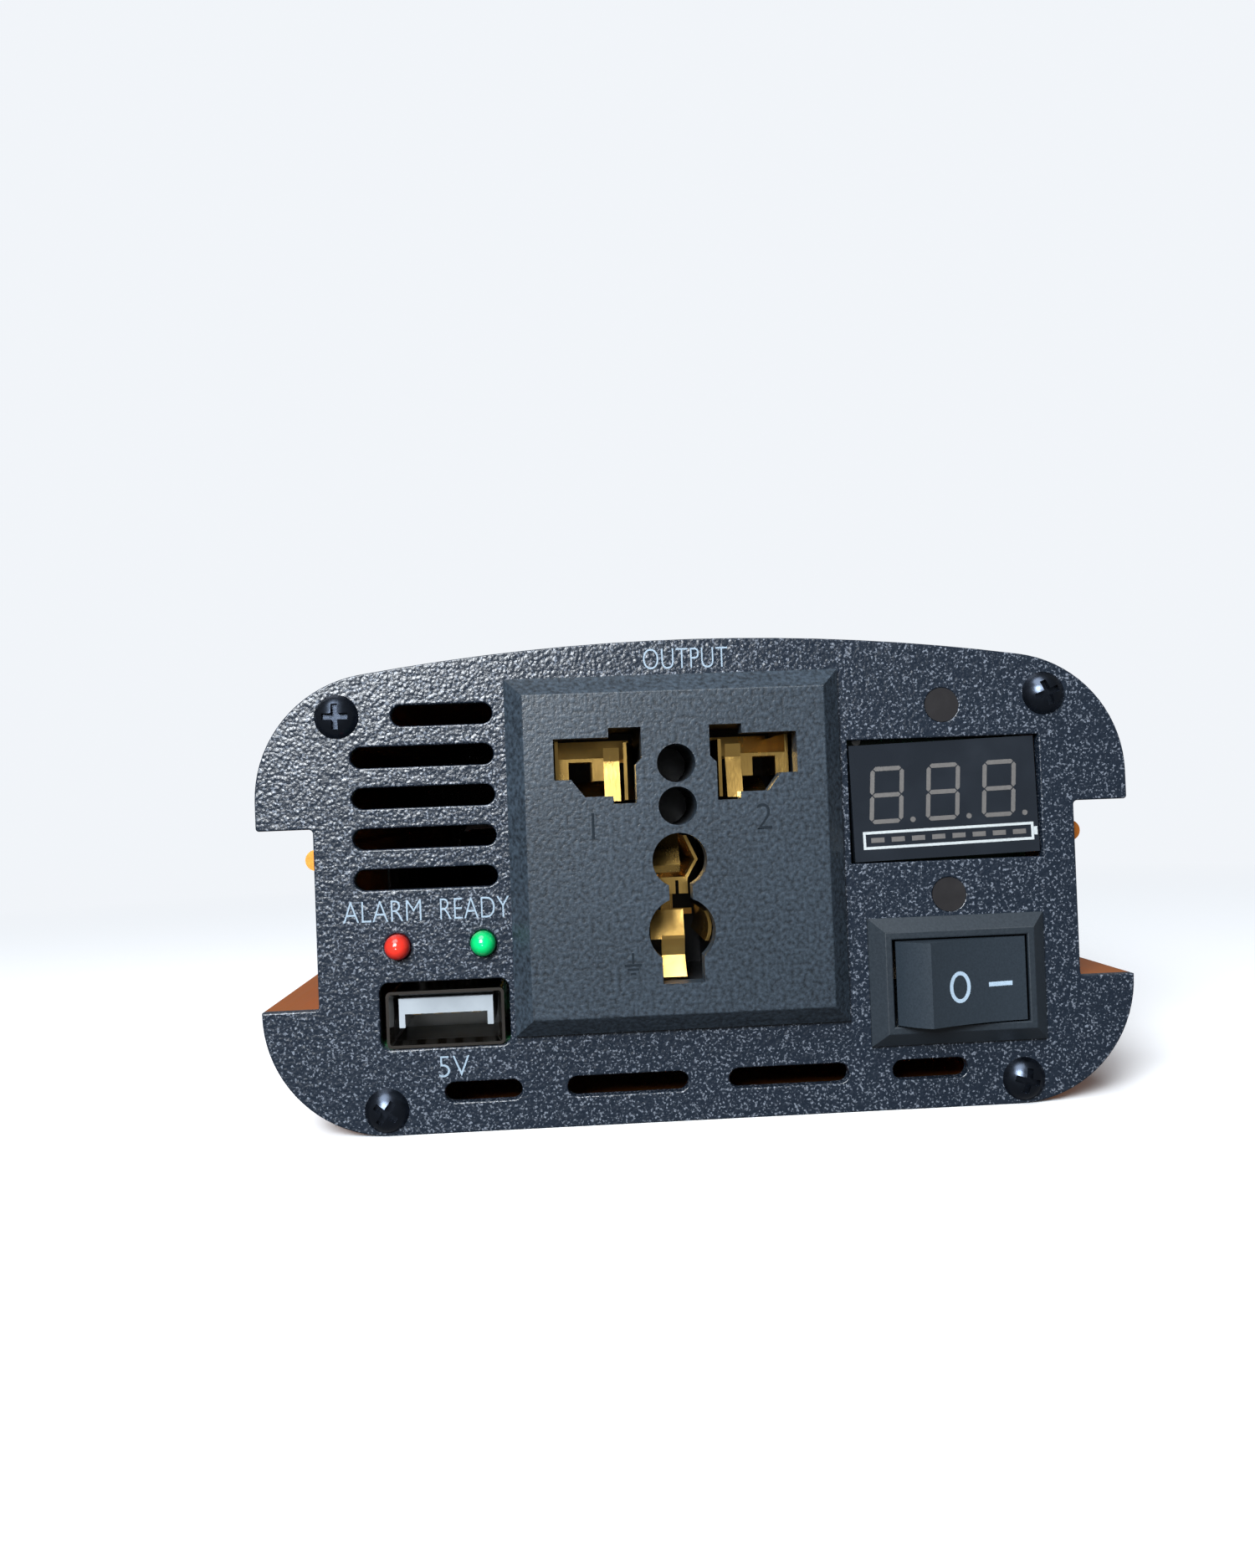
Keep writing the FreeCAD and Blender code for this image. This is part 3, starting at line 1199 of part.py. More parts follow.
# ---- display ----

def make_display():
    front = front_face + d.display_recess
    back = front + d.display_deep
    body = new_body("display_module")
    wide, tall = d.display_wide / 2, d.display_tall / 2
    pad(body, sketch_on(body, "XZ", 0, [rectangle(-wide, wide, -tall, tall)]), d.display_deep)
    turn(body, (0, -1, 0), d.display_turn)
    node("display_module", place(body, d.display_x, back, up(d.display_up)))
    board = new_body("display_board")
    left, right = d.display_board_left, d.display_board_right
    low, mid, high = up(d.display_board_low_up), up(d.display_board_mid_up), up(d.display_board_high_up)
    tab = d.display_tab_wide / 2
    outline = [(left, low), (right, low), (right, mid), (d.post_x + tab, mid), (d.post_x + tab, high),
               (d.post_x - tab, high), (d.post_x - tab, mid), (left, mid)]
    level = (back + d.board_thick) * -1
    pad(board, sketch_on(board, "XZ", level, [outline]), d.board_thick)
    pins = [(d.post_x, up(z), d.post_pin_radius) for z in (d.post_high_up, d.post_low_up)]
    pocket(board, sketch_on(board, "XZ", level, circles=pins), d.board_thick, True)
    node("display_board", board)
    posts = []
    for z in (d.post_high_up, d.post_low_up):
        shaft = rod("post_shaft", (d.post_x, front_face, up(z)), d.post_radius, back - front_face)
        pin = rod("post_pin", (d.post_x, back, up(z)), d.post_pin_radius,
                  d.board_thick + d.post_pin_out)
        posts.append(fuse("post", [shaft, pin]))
    node("display_posts", group("display_posts", posts))


# ---- USB outlet ----

def usb_span(wide, low, high):
    return d.usb_x - wide / 2, d.usb_x + wide / 2, low, high


def make_usb():
    """Folded metal shell with a flared mouth, the insulator in it, contacts and their board."""
    base = up(d.usb_base_up)
    top = base + d.usb_tall
    mouth = front_face + d.usb_back
    back = mouth + d.usb_deep
    skin = d.usb_skin
    flare = d.usb_flare
    neck = mouth + d.usb_flare_long
    shell = new_body("usb_shell")
    outer = rounded(*usb_span(d.usb_wide, base, top), d.usb_outer_round)
    inner = rounded(*usb_span(d.usb_wide - skin * 2, base + skin, top - skin), d.usb_inner_round)
    pad(shell, sketch_on(shell, "XZ", back * -1, [outer, inner]), back - neck)
    wide = d.usb_wide + flare * 2
    lip = rounded(*usb_span(wide, base - flare, top + flare), d.usb_outer_round)
    outer = sketch_on(shell, "XZ", neck * -1, [outer])
    flared = sketch_on(shell, "XZ", mouth * -1, [lip])
    loft(shell, [outer, flared])
    hollow = shell.newObject("PartDesign::SubtractiveLoft", "usb_shell_mouth")
    inside = rounded(*usb_span(wide - skin * 2, base - flare + skin, top + flare - skin), d.usb_inner_round)
    hollow.Profile = sketch_on(shell, "XZ", neck * -1, [inner])
    hollow.Sections = [sketch_on(shell, "XZ", mouth * -1, [inside])]
    hollow.Ruled = True
    doc.recompute()
    node("usb_shell", shell)

    tongue_back = back - d.usb_block
    low = base + d.tongue_above
    half = d.tongue_wide / 2
    left, right = d.usb_x - half, d.usb_x + half
    front = mouth + d.tongue_recess
    tongue = block("tongue", (left, right), (front, tongue_back), (low, low + d.tongue_high))
    side = d.usb_wide / 2 - skin - d.usb_inner_round
    rear = block("tongue_block", (d.usb_x - side, d.usb_x + side), (tongue_back, back - skin),
                 (base + skin, top - skin))
    legs = [block("tongue_leg", (x, x + d.tongue_leg), (front, tongue_back),
                  (low - d.tongue_leg_tall, low)) for x in (left, right - d.tongue_leg)]
    holes = []
    for index in range(4):
        x = usb_pin_x(index)
        holes.append(block("pin_way", (x - d.pin_wide / 2, x + d.pin_wide / 2),
                           (tongue_back, back), (low - d.pin_thick, low)))
    insulator = fuse("usb_insulator", [tongue, rear] + legs)
    node("usb_tongue", cut("usb_tongue", insulator, holes))

    pins = []
    pin_end = back + d.pin_out
    for index in range(4):
        x = usb_pin_x(index)
        span = (x - d.pin_wide / 2, x + d.pin_wide / 2)
        flat = block("pin_flat", span, (front + d.pin_recess, pin_end), (low - d.pin_thick, low))
        foot = block("pin_foot", span, (pin_end - d.pin_thick, pin_end), (base, low))
        pins.append(fuse("usb_pin", [flat, foot]))
    node("usb_contacts", group("usb_contacts", pins))

    board = block("usb_board", (d.usb_board_left, d.usb_board_right),
                  (case_front + d.usb_board_fit, case_front + d.usb_board_long),
                  (base - d.board_thick, base))
    node("usb_board", board)
    half = d.usb_header_wide / 2
    end = case_front + d.usb_board_long - d.usb_header_inset
    header = block("usb_header", (d.usb_x - half, d.usb_x + half), (end - d.usb_header_deep, end),
                   (board_top, base - d.board_thick))
    node("usb_header", header)


def usb_pin_x(index):
    """Outer pins stand 7 mm apart and inner ones 2 mm, as in the standard."""
    return d.usb_x + (-d.pin_outer, -d.pin_inner, d.pin_inner, d.pin_outer)[index]


# ---- lamps ----

def make_lamps():
    board_front = case_front + d.lamp_board_behind
    for name, x in (("fault_lamp", d.fault_x), ("power_lamp", d.power_x)):
        tip = d.panel_thick + d.lamp_proud
        profile = [
            (0, d.lamp_flange), (0, -tip), (d.lamp_radius, d.lamp_radius - tip, 0, d.lamp_radius - tip, 1),
            (d.lamp_radius, 0), (d.lamp_flange_radius, 0), (d.lamp_flange_radius, d.lamp_flange),
        ]
        body = new_body(name + "_lens")
        revolve(body, sketch_on(body, "XY", 0, [profile]))
        place(body, x, case_front, up(d.lamp_up))
        half = d.lamp_lead / 2
        leads = [block("lamp_leg", (x + offset - half, x + offset + half),
                       (case_front + d.lamp_flange / 2, board_front),
                       (up(d.lamp_up) - half, up(d.lamp_up) + half))
                 for offset in (-d.lamp_lead_off, d.lamp_lead_off)]
        node(name, fuse(name, [body] + leads))
    board = block("lamp_board", (d.lamp_board_left, d.lamp_board_right),
                  (board_front, board_front + d.board_thick),
                  (up(d.lamp_board_low_up), up(d.lamp_board_high_up)))
    node("lamp_board", board)


# ---- main board ----

def make_boards():
    end = d.case_length / 2 - d.board_end_gap
    board = block("main_board", (-d.board_half, d.board_half), (-end, end), (d.board_low, board_top))
    node("main_board", board)
    sheet = block("insulation_sheet", (-d.sheet_half, d.sheet_half), (d.sheet_start, end),
                  (d.wall, d.wall + d.sheet_thick))
    node("insulation_sheet", sheet)


def transistor(side, y):
    """A tab-mounted transistor that stands against a web, with its three legs on the board."""
    wall = web_in - d.pad_thick
    half = d.transistor_wide / 2
    low = d.transistor_low

    def span(near, far):
        return (wall - far, wall - near) if side > 0 else (near - wall, far - wall)

    package = block("package", span(0, d.transistor_thick), (y - half, y + half),
                    (low, low + d.transistor_body))
    tab = block("tab", span(0, d.tab_thick), (y - half, y + half), (low, low + d.transistor_tall))
    legs = []
    across = span(d.leg_near, d.leg_near + d.leg_thick)
    half = d.leg_wide / 2
    for offset in (-d.leg_pitch, 0, d.leg_pitch):
        middle = y + offset
        legs.append(block("leg", across, (middle - half, middle + half), (board_top, low)))
    return fuse("transistor", [package, tab] + legs)


def make_transistors():
    rows = [transistor(side, row_y + d.transistor_pitch * index)
            for side, row_y in ((-1, d.dc_row_y), (1, d.bridge_row_y)) for index in range(TRANSISTORS)]
    node("power_transistors", group("power_transistors", rows))
    pads, bars = [], []
    inner = web_in - d.pad_thick
    face = inner - d.transistor_thick
    margin = d.transistor_wide / 2
    for side, row_y in ((-1, d.dc_row_y), (1, d.bridge_row_y)):
        rows = (row_y - margin, row_y + d.transistor_pitch * (TRANSISTORS - 1) + margin)
        pad_x = (inner, web_in) if side > 0 else (-web_in, -inner)
        bar_x = (face - d.clamp_thick, face) if side > 0 else (-face, d.clamp_thick - face)
        tall = (d.transistor_low, d.transistor_low + d.transistor_tall)
        pads.append(block("pad", pad_x, rows, tall))
        bars.append(block("bar", bar_x, rows, (d.clamp_low, d.clamp_low + d.clamp_tall)))
    holes = clamp_rods("pad_hole", inner - PAST, web_in + PAST, d.screw_radius)
    node("insulating_pads", cut("insulating_pads", group("pads", pads), holes))
    start = face - d.clamp_thick
    holes = clamp_rods("bar_hole", start - PAST, face + PAST, d.screw_radius)
    node("clamp_bars", cut("clamp_bars", group("bars", bars), holes))
    screw = pan_screw("clamp_screw", d.screw_radius, web_out - start, d.screw_head_radius,
                      d.screw_head_tall)
    screws = [copy(screw, side * start, y, clamp_height(), (0, 0, 1), -90 * side)
              for side, y in clamp_screw_spots()]
    node("clamp_screws", group("clamp_screws", screws))


def make_transformers():
    """Two ferrite cores on pinned bobbins, each with its winding round the middle leg."""
    cores, windings, bobbins = [], [], []
    base = board_top + d.core_lift
    top = base + d.core_tall
    wide, deep = d.core_wide / 2, d.core_deep / 2
    mid = d.core_mid_leg / 2
    around = mid + d.winding_out
    for y in (d.front_core_y, d.rear_core_y):
        body = new_body("core")
        outside = rectangle(d.core_x - wide, d.core_x + wide, base, top)
        window_low, window_high = base + d.core_leg, top - d.core_leg
        left = rectangle(d.core_x - wide + d.core_leg, d.core_x - mid, window_low, window_high)
        right = rectangle(d.core_x + mid, d.core_x + wide - d.core_leg, window_low, window_high)
        pad(body, sketch_on(body, "XZ", (y + deep) * -1, [outside, left, right]), d.core_deep)
        cores.append(body)
        low, high = window_low + d.bobbin_thick, window_high - d.bobbin_thick
        body = new_body("winding")
        out = d.winding_out
        outline = rounded(d.core_x - around, d.core_x + around, y - deep - out, y + deep + out, out)
        skin = d.bobbin_thick
        hole = rectangle(d.core_x - mid - skin, d.core_x + mid + skin, y - deep - skin, y + deep + skin)
        pad(body, sketch_on(body, "XY", low, [outline, hole]), high - low)
        windings.append(body)
        flanges = [block("flange", (d.core_x - around, d.core_x + around), (y - deep - out, y + deep + out),
                         (z, z + d.bobbin_thick)) for z in (window_low, high)]
        leg = block("leg_way", (d.core_x - mid, d.core_x + mid), (y - deep, y + deep),
                    (window_low, window_high))
        flanges.append(block("bobbin_tube", (d.core_x - mid - skin, d.core_x + mid + skin),
                             (y - deep - skin, y + deep + skin), (window_low, window_high)))
        bobbin = cut("bobbin", fuse("flanges", flanges), [leg])
        rests = []
        for end in (y - deep - out, y + deep + d.rail_gap):
            rests.append(block("pin_rail", (d.core_x - around, d.core_x + around),
                               (end, end + out - d.rail_gap), (board_top, window_low)))
        bobbins.append(fuse("bobbin_with_rails", [bobbin] + rests))
    node("transformer_cores", group("transformer_cores", cores))
    node("transformer_windings", group("transformer_windings", windings))
    node("transformer_bobbins", group("transformer_bobbins", bobbins))


def capacitor(name, x, y, radius, tall):
    """A can with a pressed groove above its foot."""
    body = new_body(name)
    groove, rise = d.can_groove, d.can_groove_rise
    profile = [(0, 0), (radius, 0), (radius, rise), (radius - groove, rise + groove),
               (radius, rise + groove * 2), (radius, tall - groove), (radius - groove, tall), (0, tall)]
    revolve(body, sketch_on(body, "XZ", 0, [profile]))
    return place(body, x, y, board_top)


def make_capacitors():
    cans = [capacitor("input_can", d.can_x, y, d.can_radius, d.can_tall)
            for y in (d.front_can_y, d.rear_can_y)]
    cans.append(capacitor("bus_can", d.bus_can_x, d.bus_can_y, d.bus_can_radius, d.bus_can_tall))
    node("capacitors", group("capacitors", cans))


def make_choke():
    """A toroid that stands on edge, with separate turns of thick wire."""
    middle = board_top + d.choke_out + d.choke_wire
    near = d.choke_y - d.choke_thick / 2
    spot = (d.choke_x, near, middle)
    outer = rod("choke_outer", spot, d.choke_out, d.choke_thick)
    inner = rod("choke_inner", spot, d.choke_in, d.choke_thick)
    core = cut("choke_core", outer, [inner])
    node("choke_core", core)
    wire = d.choke_wire
    half = wire / 2
    low, high = d.choke_in - d.choke_play, d.choke_out
    side = d.choke_thick / 2
    loop = cut("choke_loop",
               block("loop_outer", (low - wire, high + wire), (-side - wire, side + wire), (-half, half)),
               [block("loop_inner", (low, high), (-side, side), (-half - PAST, half + PAST))])
    turns = [copy(loop, d.choke_x, d.choke_y, middle, (0, 1, 0), 360 / CHOKE_TURNS * index)
             for index in range(CHOKE_TURNS)]
    node("choke_winding", group("choke_winding", turns))


def fuse_blades(name, y):
    """The two blades of one fuse, or the ways for them in its holder."""
    wide, thick = d.fuse_blade_wide / 2, d.fuse_blade_thick / 2
    blades = []
    for offset in (-d.fuse_blade_off, d.fuse_blade_off):
        x = d.fuse_x + offset
        blades.append(block(name, (x - wide, x + wide), (y - thick, y + thick),
                            (board_top + d.holder_floor, board_top + d.holder_tall)))
    return blades


def make_fuses():
    fuses, holders = [], []
    low = board_top + d.holder_tall
    for index in (0, 1):
        y = d.fuse_y + d.fuse_pitch * index
        wide, thick = d.fuse_wide / 2, d.fuse_thick / 2
        fuse_body = block("fuse_body", (d.fuse_x - wide, d.fuse_x + wide), (y - thick, y + thick),
                          (low, low + d.fuse_tall))
        fuses.append(fuse("fuse", [fuse_body] + fuse_blades("fuse_blade", y)))
        wide, thick = wide + d.holder_wall, thick + d.holder_wall
        shell = block("holder_block", (d.fuse_x - wide, d.fuse_x + wide), (y - thick, y + thick),
                      (board_top, low))
        holders.append(cut("holder", shell, fuse_blades("blade_way", y)))
    node("blade_fuses", group("blade_fuses", fuses))
    node("fuse_holders", group("fuse_holders", holders))


def make_chips():
    chips = []
    for index in (0, 1):
        x = d.chip_x - d.chip_gap * index
        half, long = d.chip_wide / 2, d.chip_long / 2
        low = board_top + d.chip_lift
        pieces = [block("chip", (x - half, x + half), (d.chip_y - long, d.chip_y + long),
                        (low, low + d.chip_tall))]
        out, pin_half = d.chip_pin_out, d.chip_pin_wide / 2
        for span in ((x - half - out, x - half), (x + half, x + half + out)):
            for pin in range(CHIP_PINS):
                y = d.chip_y + d.leg_pitch * (pin - (CHIP_PINS - 1) / 2)
                pieces.append(block("chip_pin", span, (y - pin_half, y + pin_half),
                                    (board_top, low + d.chip_tall / 2)))
        chips.append(fuse("control_chip", pieces))
    node("control_chips", group("control_chips", chips))


def make_buzzer():
    spot = (d.buzzer_x, d.buzzer_y, board_top)
    can = rod("buzzer_can", spot, d.buzzer_radius, d.buzzer_tall, "Z")
    mouth = (d.buzzer_x, d.buzzer_y, board_top + d.buzzer_floor)
    hole = rod("buzzer_mouth", mouth, d.buzzer_hole, d.buzzer_tall, "Z")
    node("buzzer", cut("buzzer", can, [hole]))


# ---- fan ----

def fan_front():
    return case_rear - d.fan_deep


def fan_z():
    return up(d.fan_up)


def make_fan_frame():
    """Square frame with a round duct; a hub on four arms carries the bearing tube."""
    half = d.fan_side / 2
    body = new_body("fan_duct")
    outline = rounded(d.fan_x - half, d.fan_x + half, fan_z() - half, fan_z() + half, d.fan_corner)
    pad(body, sketch_on(body, "XZ", case_rear * -1, [outline]), d.fan_deep)
    holes = [(x, z, d.fan_screw_radius) for x, z in fan_hole_spots()]
    duct = [(d.fan_x, fan_z(), d.fan_bore)]
    pocket(body, sketch_on(body, "XZ", case_rear * -1, circles=holes + duct), d.fan_deep, True)
    hub = rod("fan_hub_plate", (d.fan_x, fan_front(), fan_z()), d.fan_hub, d.fan_web)
    arms = []
    half = d.fan_arm_wide / 2
    for angle in DIAGONALS:
        arm = block("fan_arm", (0, d.fan_bore + d.fan_arm_in), (0, d.fan_web), (-half, half))
        arms.append(copy(arm, d.fan_x, fan_front(), fan_z(), (0, 1, 0), angle))
    middle = (d.fan_x, fan_front(), fan_z())
    tube = rod("fan_bearing_tube", middle, d.fan_bearing, d.fan_deep - d.fan_tube_short)
    frame = fuse("fan_frame_solid", [body, hub, tube] + arms)
    bore = rod("fan_bearing_bore", middle, d.fan_shaft + d.fan_shaft_fit, d.fan_deep)
    node("fan_frame", cut("fan_frame", frame, [bore]))


def make_fan_rotor():
    """Cup with blades; the shaft turns in the frame's bearing tube."""
    low = fan_front() + d.fan_web + d.fan_gap
    high = case_rear - d.fan_gap
    hub = rod("rotor_hub", (d.fan_x, low, fan_z()), d.fan_hub, high - low)
    hollow = rod("rotor_hollow", (d.fan_x, low, fan_z()), d.fan_hub - d.fan_hub_skin,
                 high - low - d.fan_cup_floor)
    cup = cut("rotor_cup", hub, [hollow])
    half = d.fan_blade_chord / 2
    thick = d.fan_blade_thick / 2
    blade = block("rotor_blade", (d.fan_hub - d.fan_blade_root, d.fan_blade_tip + PAST),
                  (-half, half), (-thick, thick))
    turn(blade, (1, 0, 0), d.fan_blade_turn)
    rest = group("rotor_blade_held", [blade])
    middle = (low + high) / 2
    blades = [copy(rest, d.fan_x, middle, fan_z(), (0, 1, 0), 360 / FAN_BLADES * index)
              for index in range(FAN_BLADES)]
    swept = doc.addObject("Part::Common", "rotor_swept")
    swept.Base = group("rotor_blades", blades)
    swept.Tool = rod("rotor_sweep", (d.fan_x, low, fan_z()), d.fan_blade_tip, high - low)
    node("fan_rotor", cut("fan_rotor", fuse("rotor_body", [cup, swept]), [
        rod("rotor_shaft_way", (d.fan_x, low, fan_z()), d.fan_shaft, high - low)]))
    start = fan_front() + d.fan_shaft_inset
    node("fan_shaft", rod("fan_shaft", (d.fan_x, start, fan_z()), d.fan_shaft, high - start))


def make_fan_stator():
    """Coils around the bearing tube, inside the rotor's cup."""
    low = fan_front() + d.fan_web
    tall = d.fan_deep - d.fan_web - d.fan_gap * 2 - d.stator_short
    outer = rod("stator_outer", (d.fan_x, low, fan_z()), d.fan_stator, tall)
    tube = rod("stator_tube", (d.fan_x, low, fan_z()), d.fan_bearing, tall)
    gaps = []
    half = d.stator_slot_wide / 2
    for angle in DIAGONALS:
        notch = block("stator_gap", (d.stator_slot_in, d.fan_stator + PAST), (0, tall), (-half, half))
        gaps.append(copy(notch, d.fan_x, low, fan_z(), (0, 1, 0), angle))
    node("fan_stator", cut("fan_stator", outer, [tube] + gaps))


def make_fan_guard():
    """Welded wire finger guard: rings on two crossed rods that end in eyes under the screws."""
    wire = d.guard_wire
    near = rear_face + wire
    pieces = []
    for index in range(GUARD_RINGS + 1):
        radius = d.guard_inner + d.guard_step * index
        pieces.append(ring("guard_ring", (d.fan_x, near + d.guard_rise, fan_z()), radius, wire))
    reach = root(Size(2)) * d.fan_hole_pitch / 2 - d.guard_eye
    for angle in DIAGONALS[:2]:
        rod_piece = rod("guard_rod", (-reach, 0, 0), wire, reach * 2, "X")
        holder = group("guard_rod_held", [rod_piece])
        pieces.append(copy(holder, d.fan_x, near, fan_z(), (0, 1, 0), angle))
    for x, z in fan_hole_spots():
        pieces.append(ring("guard_eye", (x, near, z), d.guard_eye, wire))
    node("fan_guard", fuse("fan_guard", pieces))


def make_fan_screws():
    seat = rear_face + d.guard_wire * 2
    length = seat - fan_front() + d.fan_nut_tall + d.fan_screw_out
    screw = pan_screw("fan_screw", d.fan_screw_radius, length, d.fan_head_radius, d.screw_head_tall)
    screws = [copy(screw, x, seat, z, (0, 0, 1), 180) for x, z in fan_hole_spots()]
    node("fan_screws", group("fan_screws", screws))


def hex_nut(name, radius, tall, bore):
    """A six-sided nut along +Y from y = 0."""
    body = new_body(name)
    angles = [math.radians(60 * index) for index in range(6)]
    flats = [(radius * math.cos(angle), radius * math.sin(angle)) for angle in angles]
    pad(body, sketch_on(body, "XZ", tall * -1, [flats], [(0, 0, bore)]), tall)
    return body


# ---- battery posts ----

def collar_face():
    """Where a battery lead is clamped: the outer face of the post's collar."""
    return rear_face + d.insulator_tall + d.collar_tall


def make_post(name, x):
    z = up(d.post_up)
    insulator = fuse(name + "_insulator_solid", [
        rod("flange", (x, rear_face, z), d.insulator_radius, d.insulator_tall),
        rod("sleeve", (x, case_rear, z), d.sleeve_radius, d.panel_thick)])
    way = rod("stud_way", (x, case_rear, z), d.stud_radius, d.panel_thick + d.insulator_tall)
    node(name + "_insulator", cut(name + "_insulator", insulator, [way]))
    stud = rod("stud_shaft", (x, case_rear - d.stud_inside, z), d.stud_radius,
               collar_face() + d.stud_outside - case_rear + d.stud_inside)
    collar = rod("stud_collar", (x, rear_face + d.insulator_tall, z), d.collar_radius, d.collar_tall)
    washer_y = collar_face() + d.washer_gap
    washer = cut(name + "_washer", rod("washer_disc", (x, washer_y, z), d.washer_radius, d.washer_tall),
                 [rod("washer_way", (x, washer_y, z), d.spigot_radius + d.spigot_fit, d.washer_tall)])
    node(name + "_washer", washer)

    cap = new_body(name + "_cap")
    edge = d.cap_edge
    spigot, top = d.washer_tall, d.washer_tall + d.cap_long
    bore_radius = d.stud_radius + d.cap_bore_fit
    bore_end = d.stud_outside + d.cap_headroom
    profile = [
        (bore_radius, 0), (d.spigot_radius, 0), (d.spigot_radius, spigot), (d.cap_radius, spigot),
        (d.cap_radius, top - edge), (d.cap_radius - edge, top, d.cap_radius - edge, top - edge, 1),
        (0, top),
        (0, bore_end), (bore_radius, bore_end),
    ]
    revolve(cap, sketch_on(cap, "XY", 0, [profile]))
    flutes = []
    for index in range(CAP_FLUTES):
        angle = 2 * math.pi * index / CAP_FLUTES
        reach = d.cap_radius + d.cap_flute / 2
        flutes.append((reach * math.cos(angle), reach * math.sin(angle), d.cap_flute))
    pocket(cap, sketch_on(cap, "XZ", (spigot + 2) * -1, circles=flutes), d.cap_long)
    place(cap, x, washer_y, z)
    node(name + "_cap", cap)
    return fuse(name + "_stud", [stud, collar])


def make_posts():
    studs = [make_post("positive", d.positive_x), make_post("negative", d.negative_x)]
    node("post_studs", group("post_studs", studs))
    nut = hex_nut("post_nut", d.nut_radius, d.nut_tall, d.stud_radius)
    posts = (d.positive_x, d.negative_x)
    nuts = [copy(nut, x, case_rear - d.lug_thick - d.nut_tall, up(d.post_up)) for x in posts]
    nut = hex_nut("fan_nut", d.fan_nut_radius, d.fan_nut_tall, d.fan_screw_radius)
    nuts += [copy(nut, x, fan_front() - d.fan_nut_tall, z) for x, z in fan_hole_spots()]
    node("hex_nuts", group("hex_nuts", nuts))
    pieces = []
    for x in posts:
        eye = rod("lug_eye", (x, case_rear - d.lug_thick, up(d.post_up)), d.lug_radius, d.lug_thick)
        half = d.lug_wide / 2
        strap = block("lug_strap", (x - half, x + half), (case_rear - d.lug_thick, case_rear),
                      (up(d.post_up) - d.lug_drop, up(d.post_up)))
        way = rod("lug_way", (x, case_rear - d.lug_thick, up(d.post_up)), d.stud_radius, d.lug_thick)
        pieces.append(cut("lug", fuse("lug_solid", [eye, strap]), [way]))
        z = up(d.post_up) - d.lug_drop + d.power_lead_rise
        y = case_rear - d.lug_thick
        bend = y - d.power_lead_run
        points = [(x, y, z), (x, bend, z), (x, bend, board_top)]
        pieces.append(lead("battery_wire", points, d.power_lead))
    node("battery_leads", group("battery_leads", pieces))


# ---- leads ----

def make_leads():
    """Each lead runs level from what it feeds, bends down and ends on the main board."""
    tail_y = front_face + d.housing_deep + d.cover_thick + d.tail_out
    leads = []
    runs = (d.pole_lead_run, d.pole_lead_run, d.earth_lead_run)
    for (x, z), run in zip(contact_tails(), runs):
        points = [(x, tail_y, z), (x, tail_y + run, z), (x, tail_y + run, board_top)]
        leads.append(lead("socket_lead", points, d.mains_lead))
    node("socket_leads", group("socket_leads", leads))
    leads = []
    start = front_face + d.switch_body_deep + d.blade_out
    for x in switch_blades():
        z = up(d.switch_up)
        bend = start + d.switch_lead_run
        points = [(x, start, z), (x, bend, z), (x, bend, board_top)]
        leads.append(lead("switch_lead", points, d.signal_lead))
    z = fan_z() - d.fan_hub + d.fan_lead_rise
    bend = fan_front() - d.fan_lead_run
    points = [(d.fan_x, fan_front(), z), (d.fan_x, bend, z), (d.fan_x, bend, board_top)]
    leads.append(lead("fan_lead", points, d.signal_lead))
    node("signal_leads", group("signal_leads", leads))


def ribbon(name, x, y, z, back):
    """A flat ribbon that leaves a board's rear face at x, y, z and drops to the main board."""
    body = new_body(name)
    thick = d.ribbon_thick
    bend = d.ribbon_bend
    outline = [
        (y, z), (y, z - thick), (back - bend, z - thick),
        (back - thick, z - bend, back - bend, z - bend, -1),
        (back - thick, board_top), (back, board_top), (back, z - bend),
        (back - bend, z, back - bend, z - bend, 1),
    ]
    half = d.ribbon_wide / 2
    pad(body, sketch_on(body, "YZ", x - half, [outline]), d.ribbon_wide)
    return body


def make_ribbons():
    display_back = front_face + d.display_recess + d.display_deep + d.board_thick
    lamp_back = case_front + d.lamp_board_behind + d.board_thick
    ribbons = [
        ribbon("display_ribbon", d.display_x + d.display_ribbon_right, display_back,
               up(d.display_up), display_back + d.display_ribbon_run),
        ribbon("lamp_ribbon", d.usb_x - d.lamp_ribbon_left, lamp_back, up(d.lamp_up),
               lamp_back + d.lamp_ribbon_run),
    ]
    node("ribbons", group("ribbons", ribbons))


def check_and_write():
    """Stop on anything that failed; otherwise write one file for each sub-part."""
    doc.recompute()
    for thing in doc.Objects:
        if "Invalid" in thing.State or "Error" in thing.State:
            raise RuntimeError(thing.Name + " failed: " + str(thing.State))
    os.makedirs("parts", exist_ok=True)
    for thing in nodes:
        if thing.Shape.isNull() or not thing.Shape.isValid():
            raise RuntimeError(thing.Label + " has no valid shape")
    for thing in nodes:
        thing.Shape.exportStep("parts/%s.step" % thing.Label)
    print(len(nodes), "sub-parts written")


def main():
    fill_sheet()
    for make in (
        make_top_shell, make_bottom_shell, make_front_panel, make_rear_panel, make_panel_screws,
        make_socket_faceplate, make_socket_housing, make_socket_back_cover, make_contacts,
        make_switch_housing, make_switch_rocker, make_switch_arm, make_switch_terminals,
        make_display, make_usb, make_lamps, make_boards, make_transistors, make_transformers,
        make_capacitors, make_choke, make_fuses, make_chips, make_buzzer, make_fan_frame,
        make_fan_rotor, make_fan_stator, make_fan_guard, make_fan_screws, make_posts,
        make_leads, make_ribbons,
    ):
        make()
    check_and_write()


main()
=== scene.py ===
import math

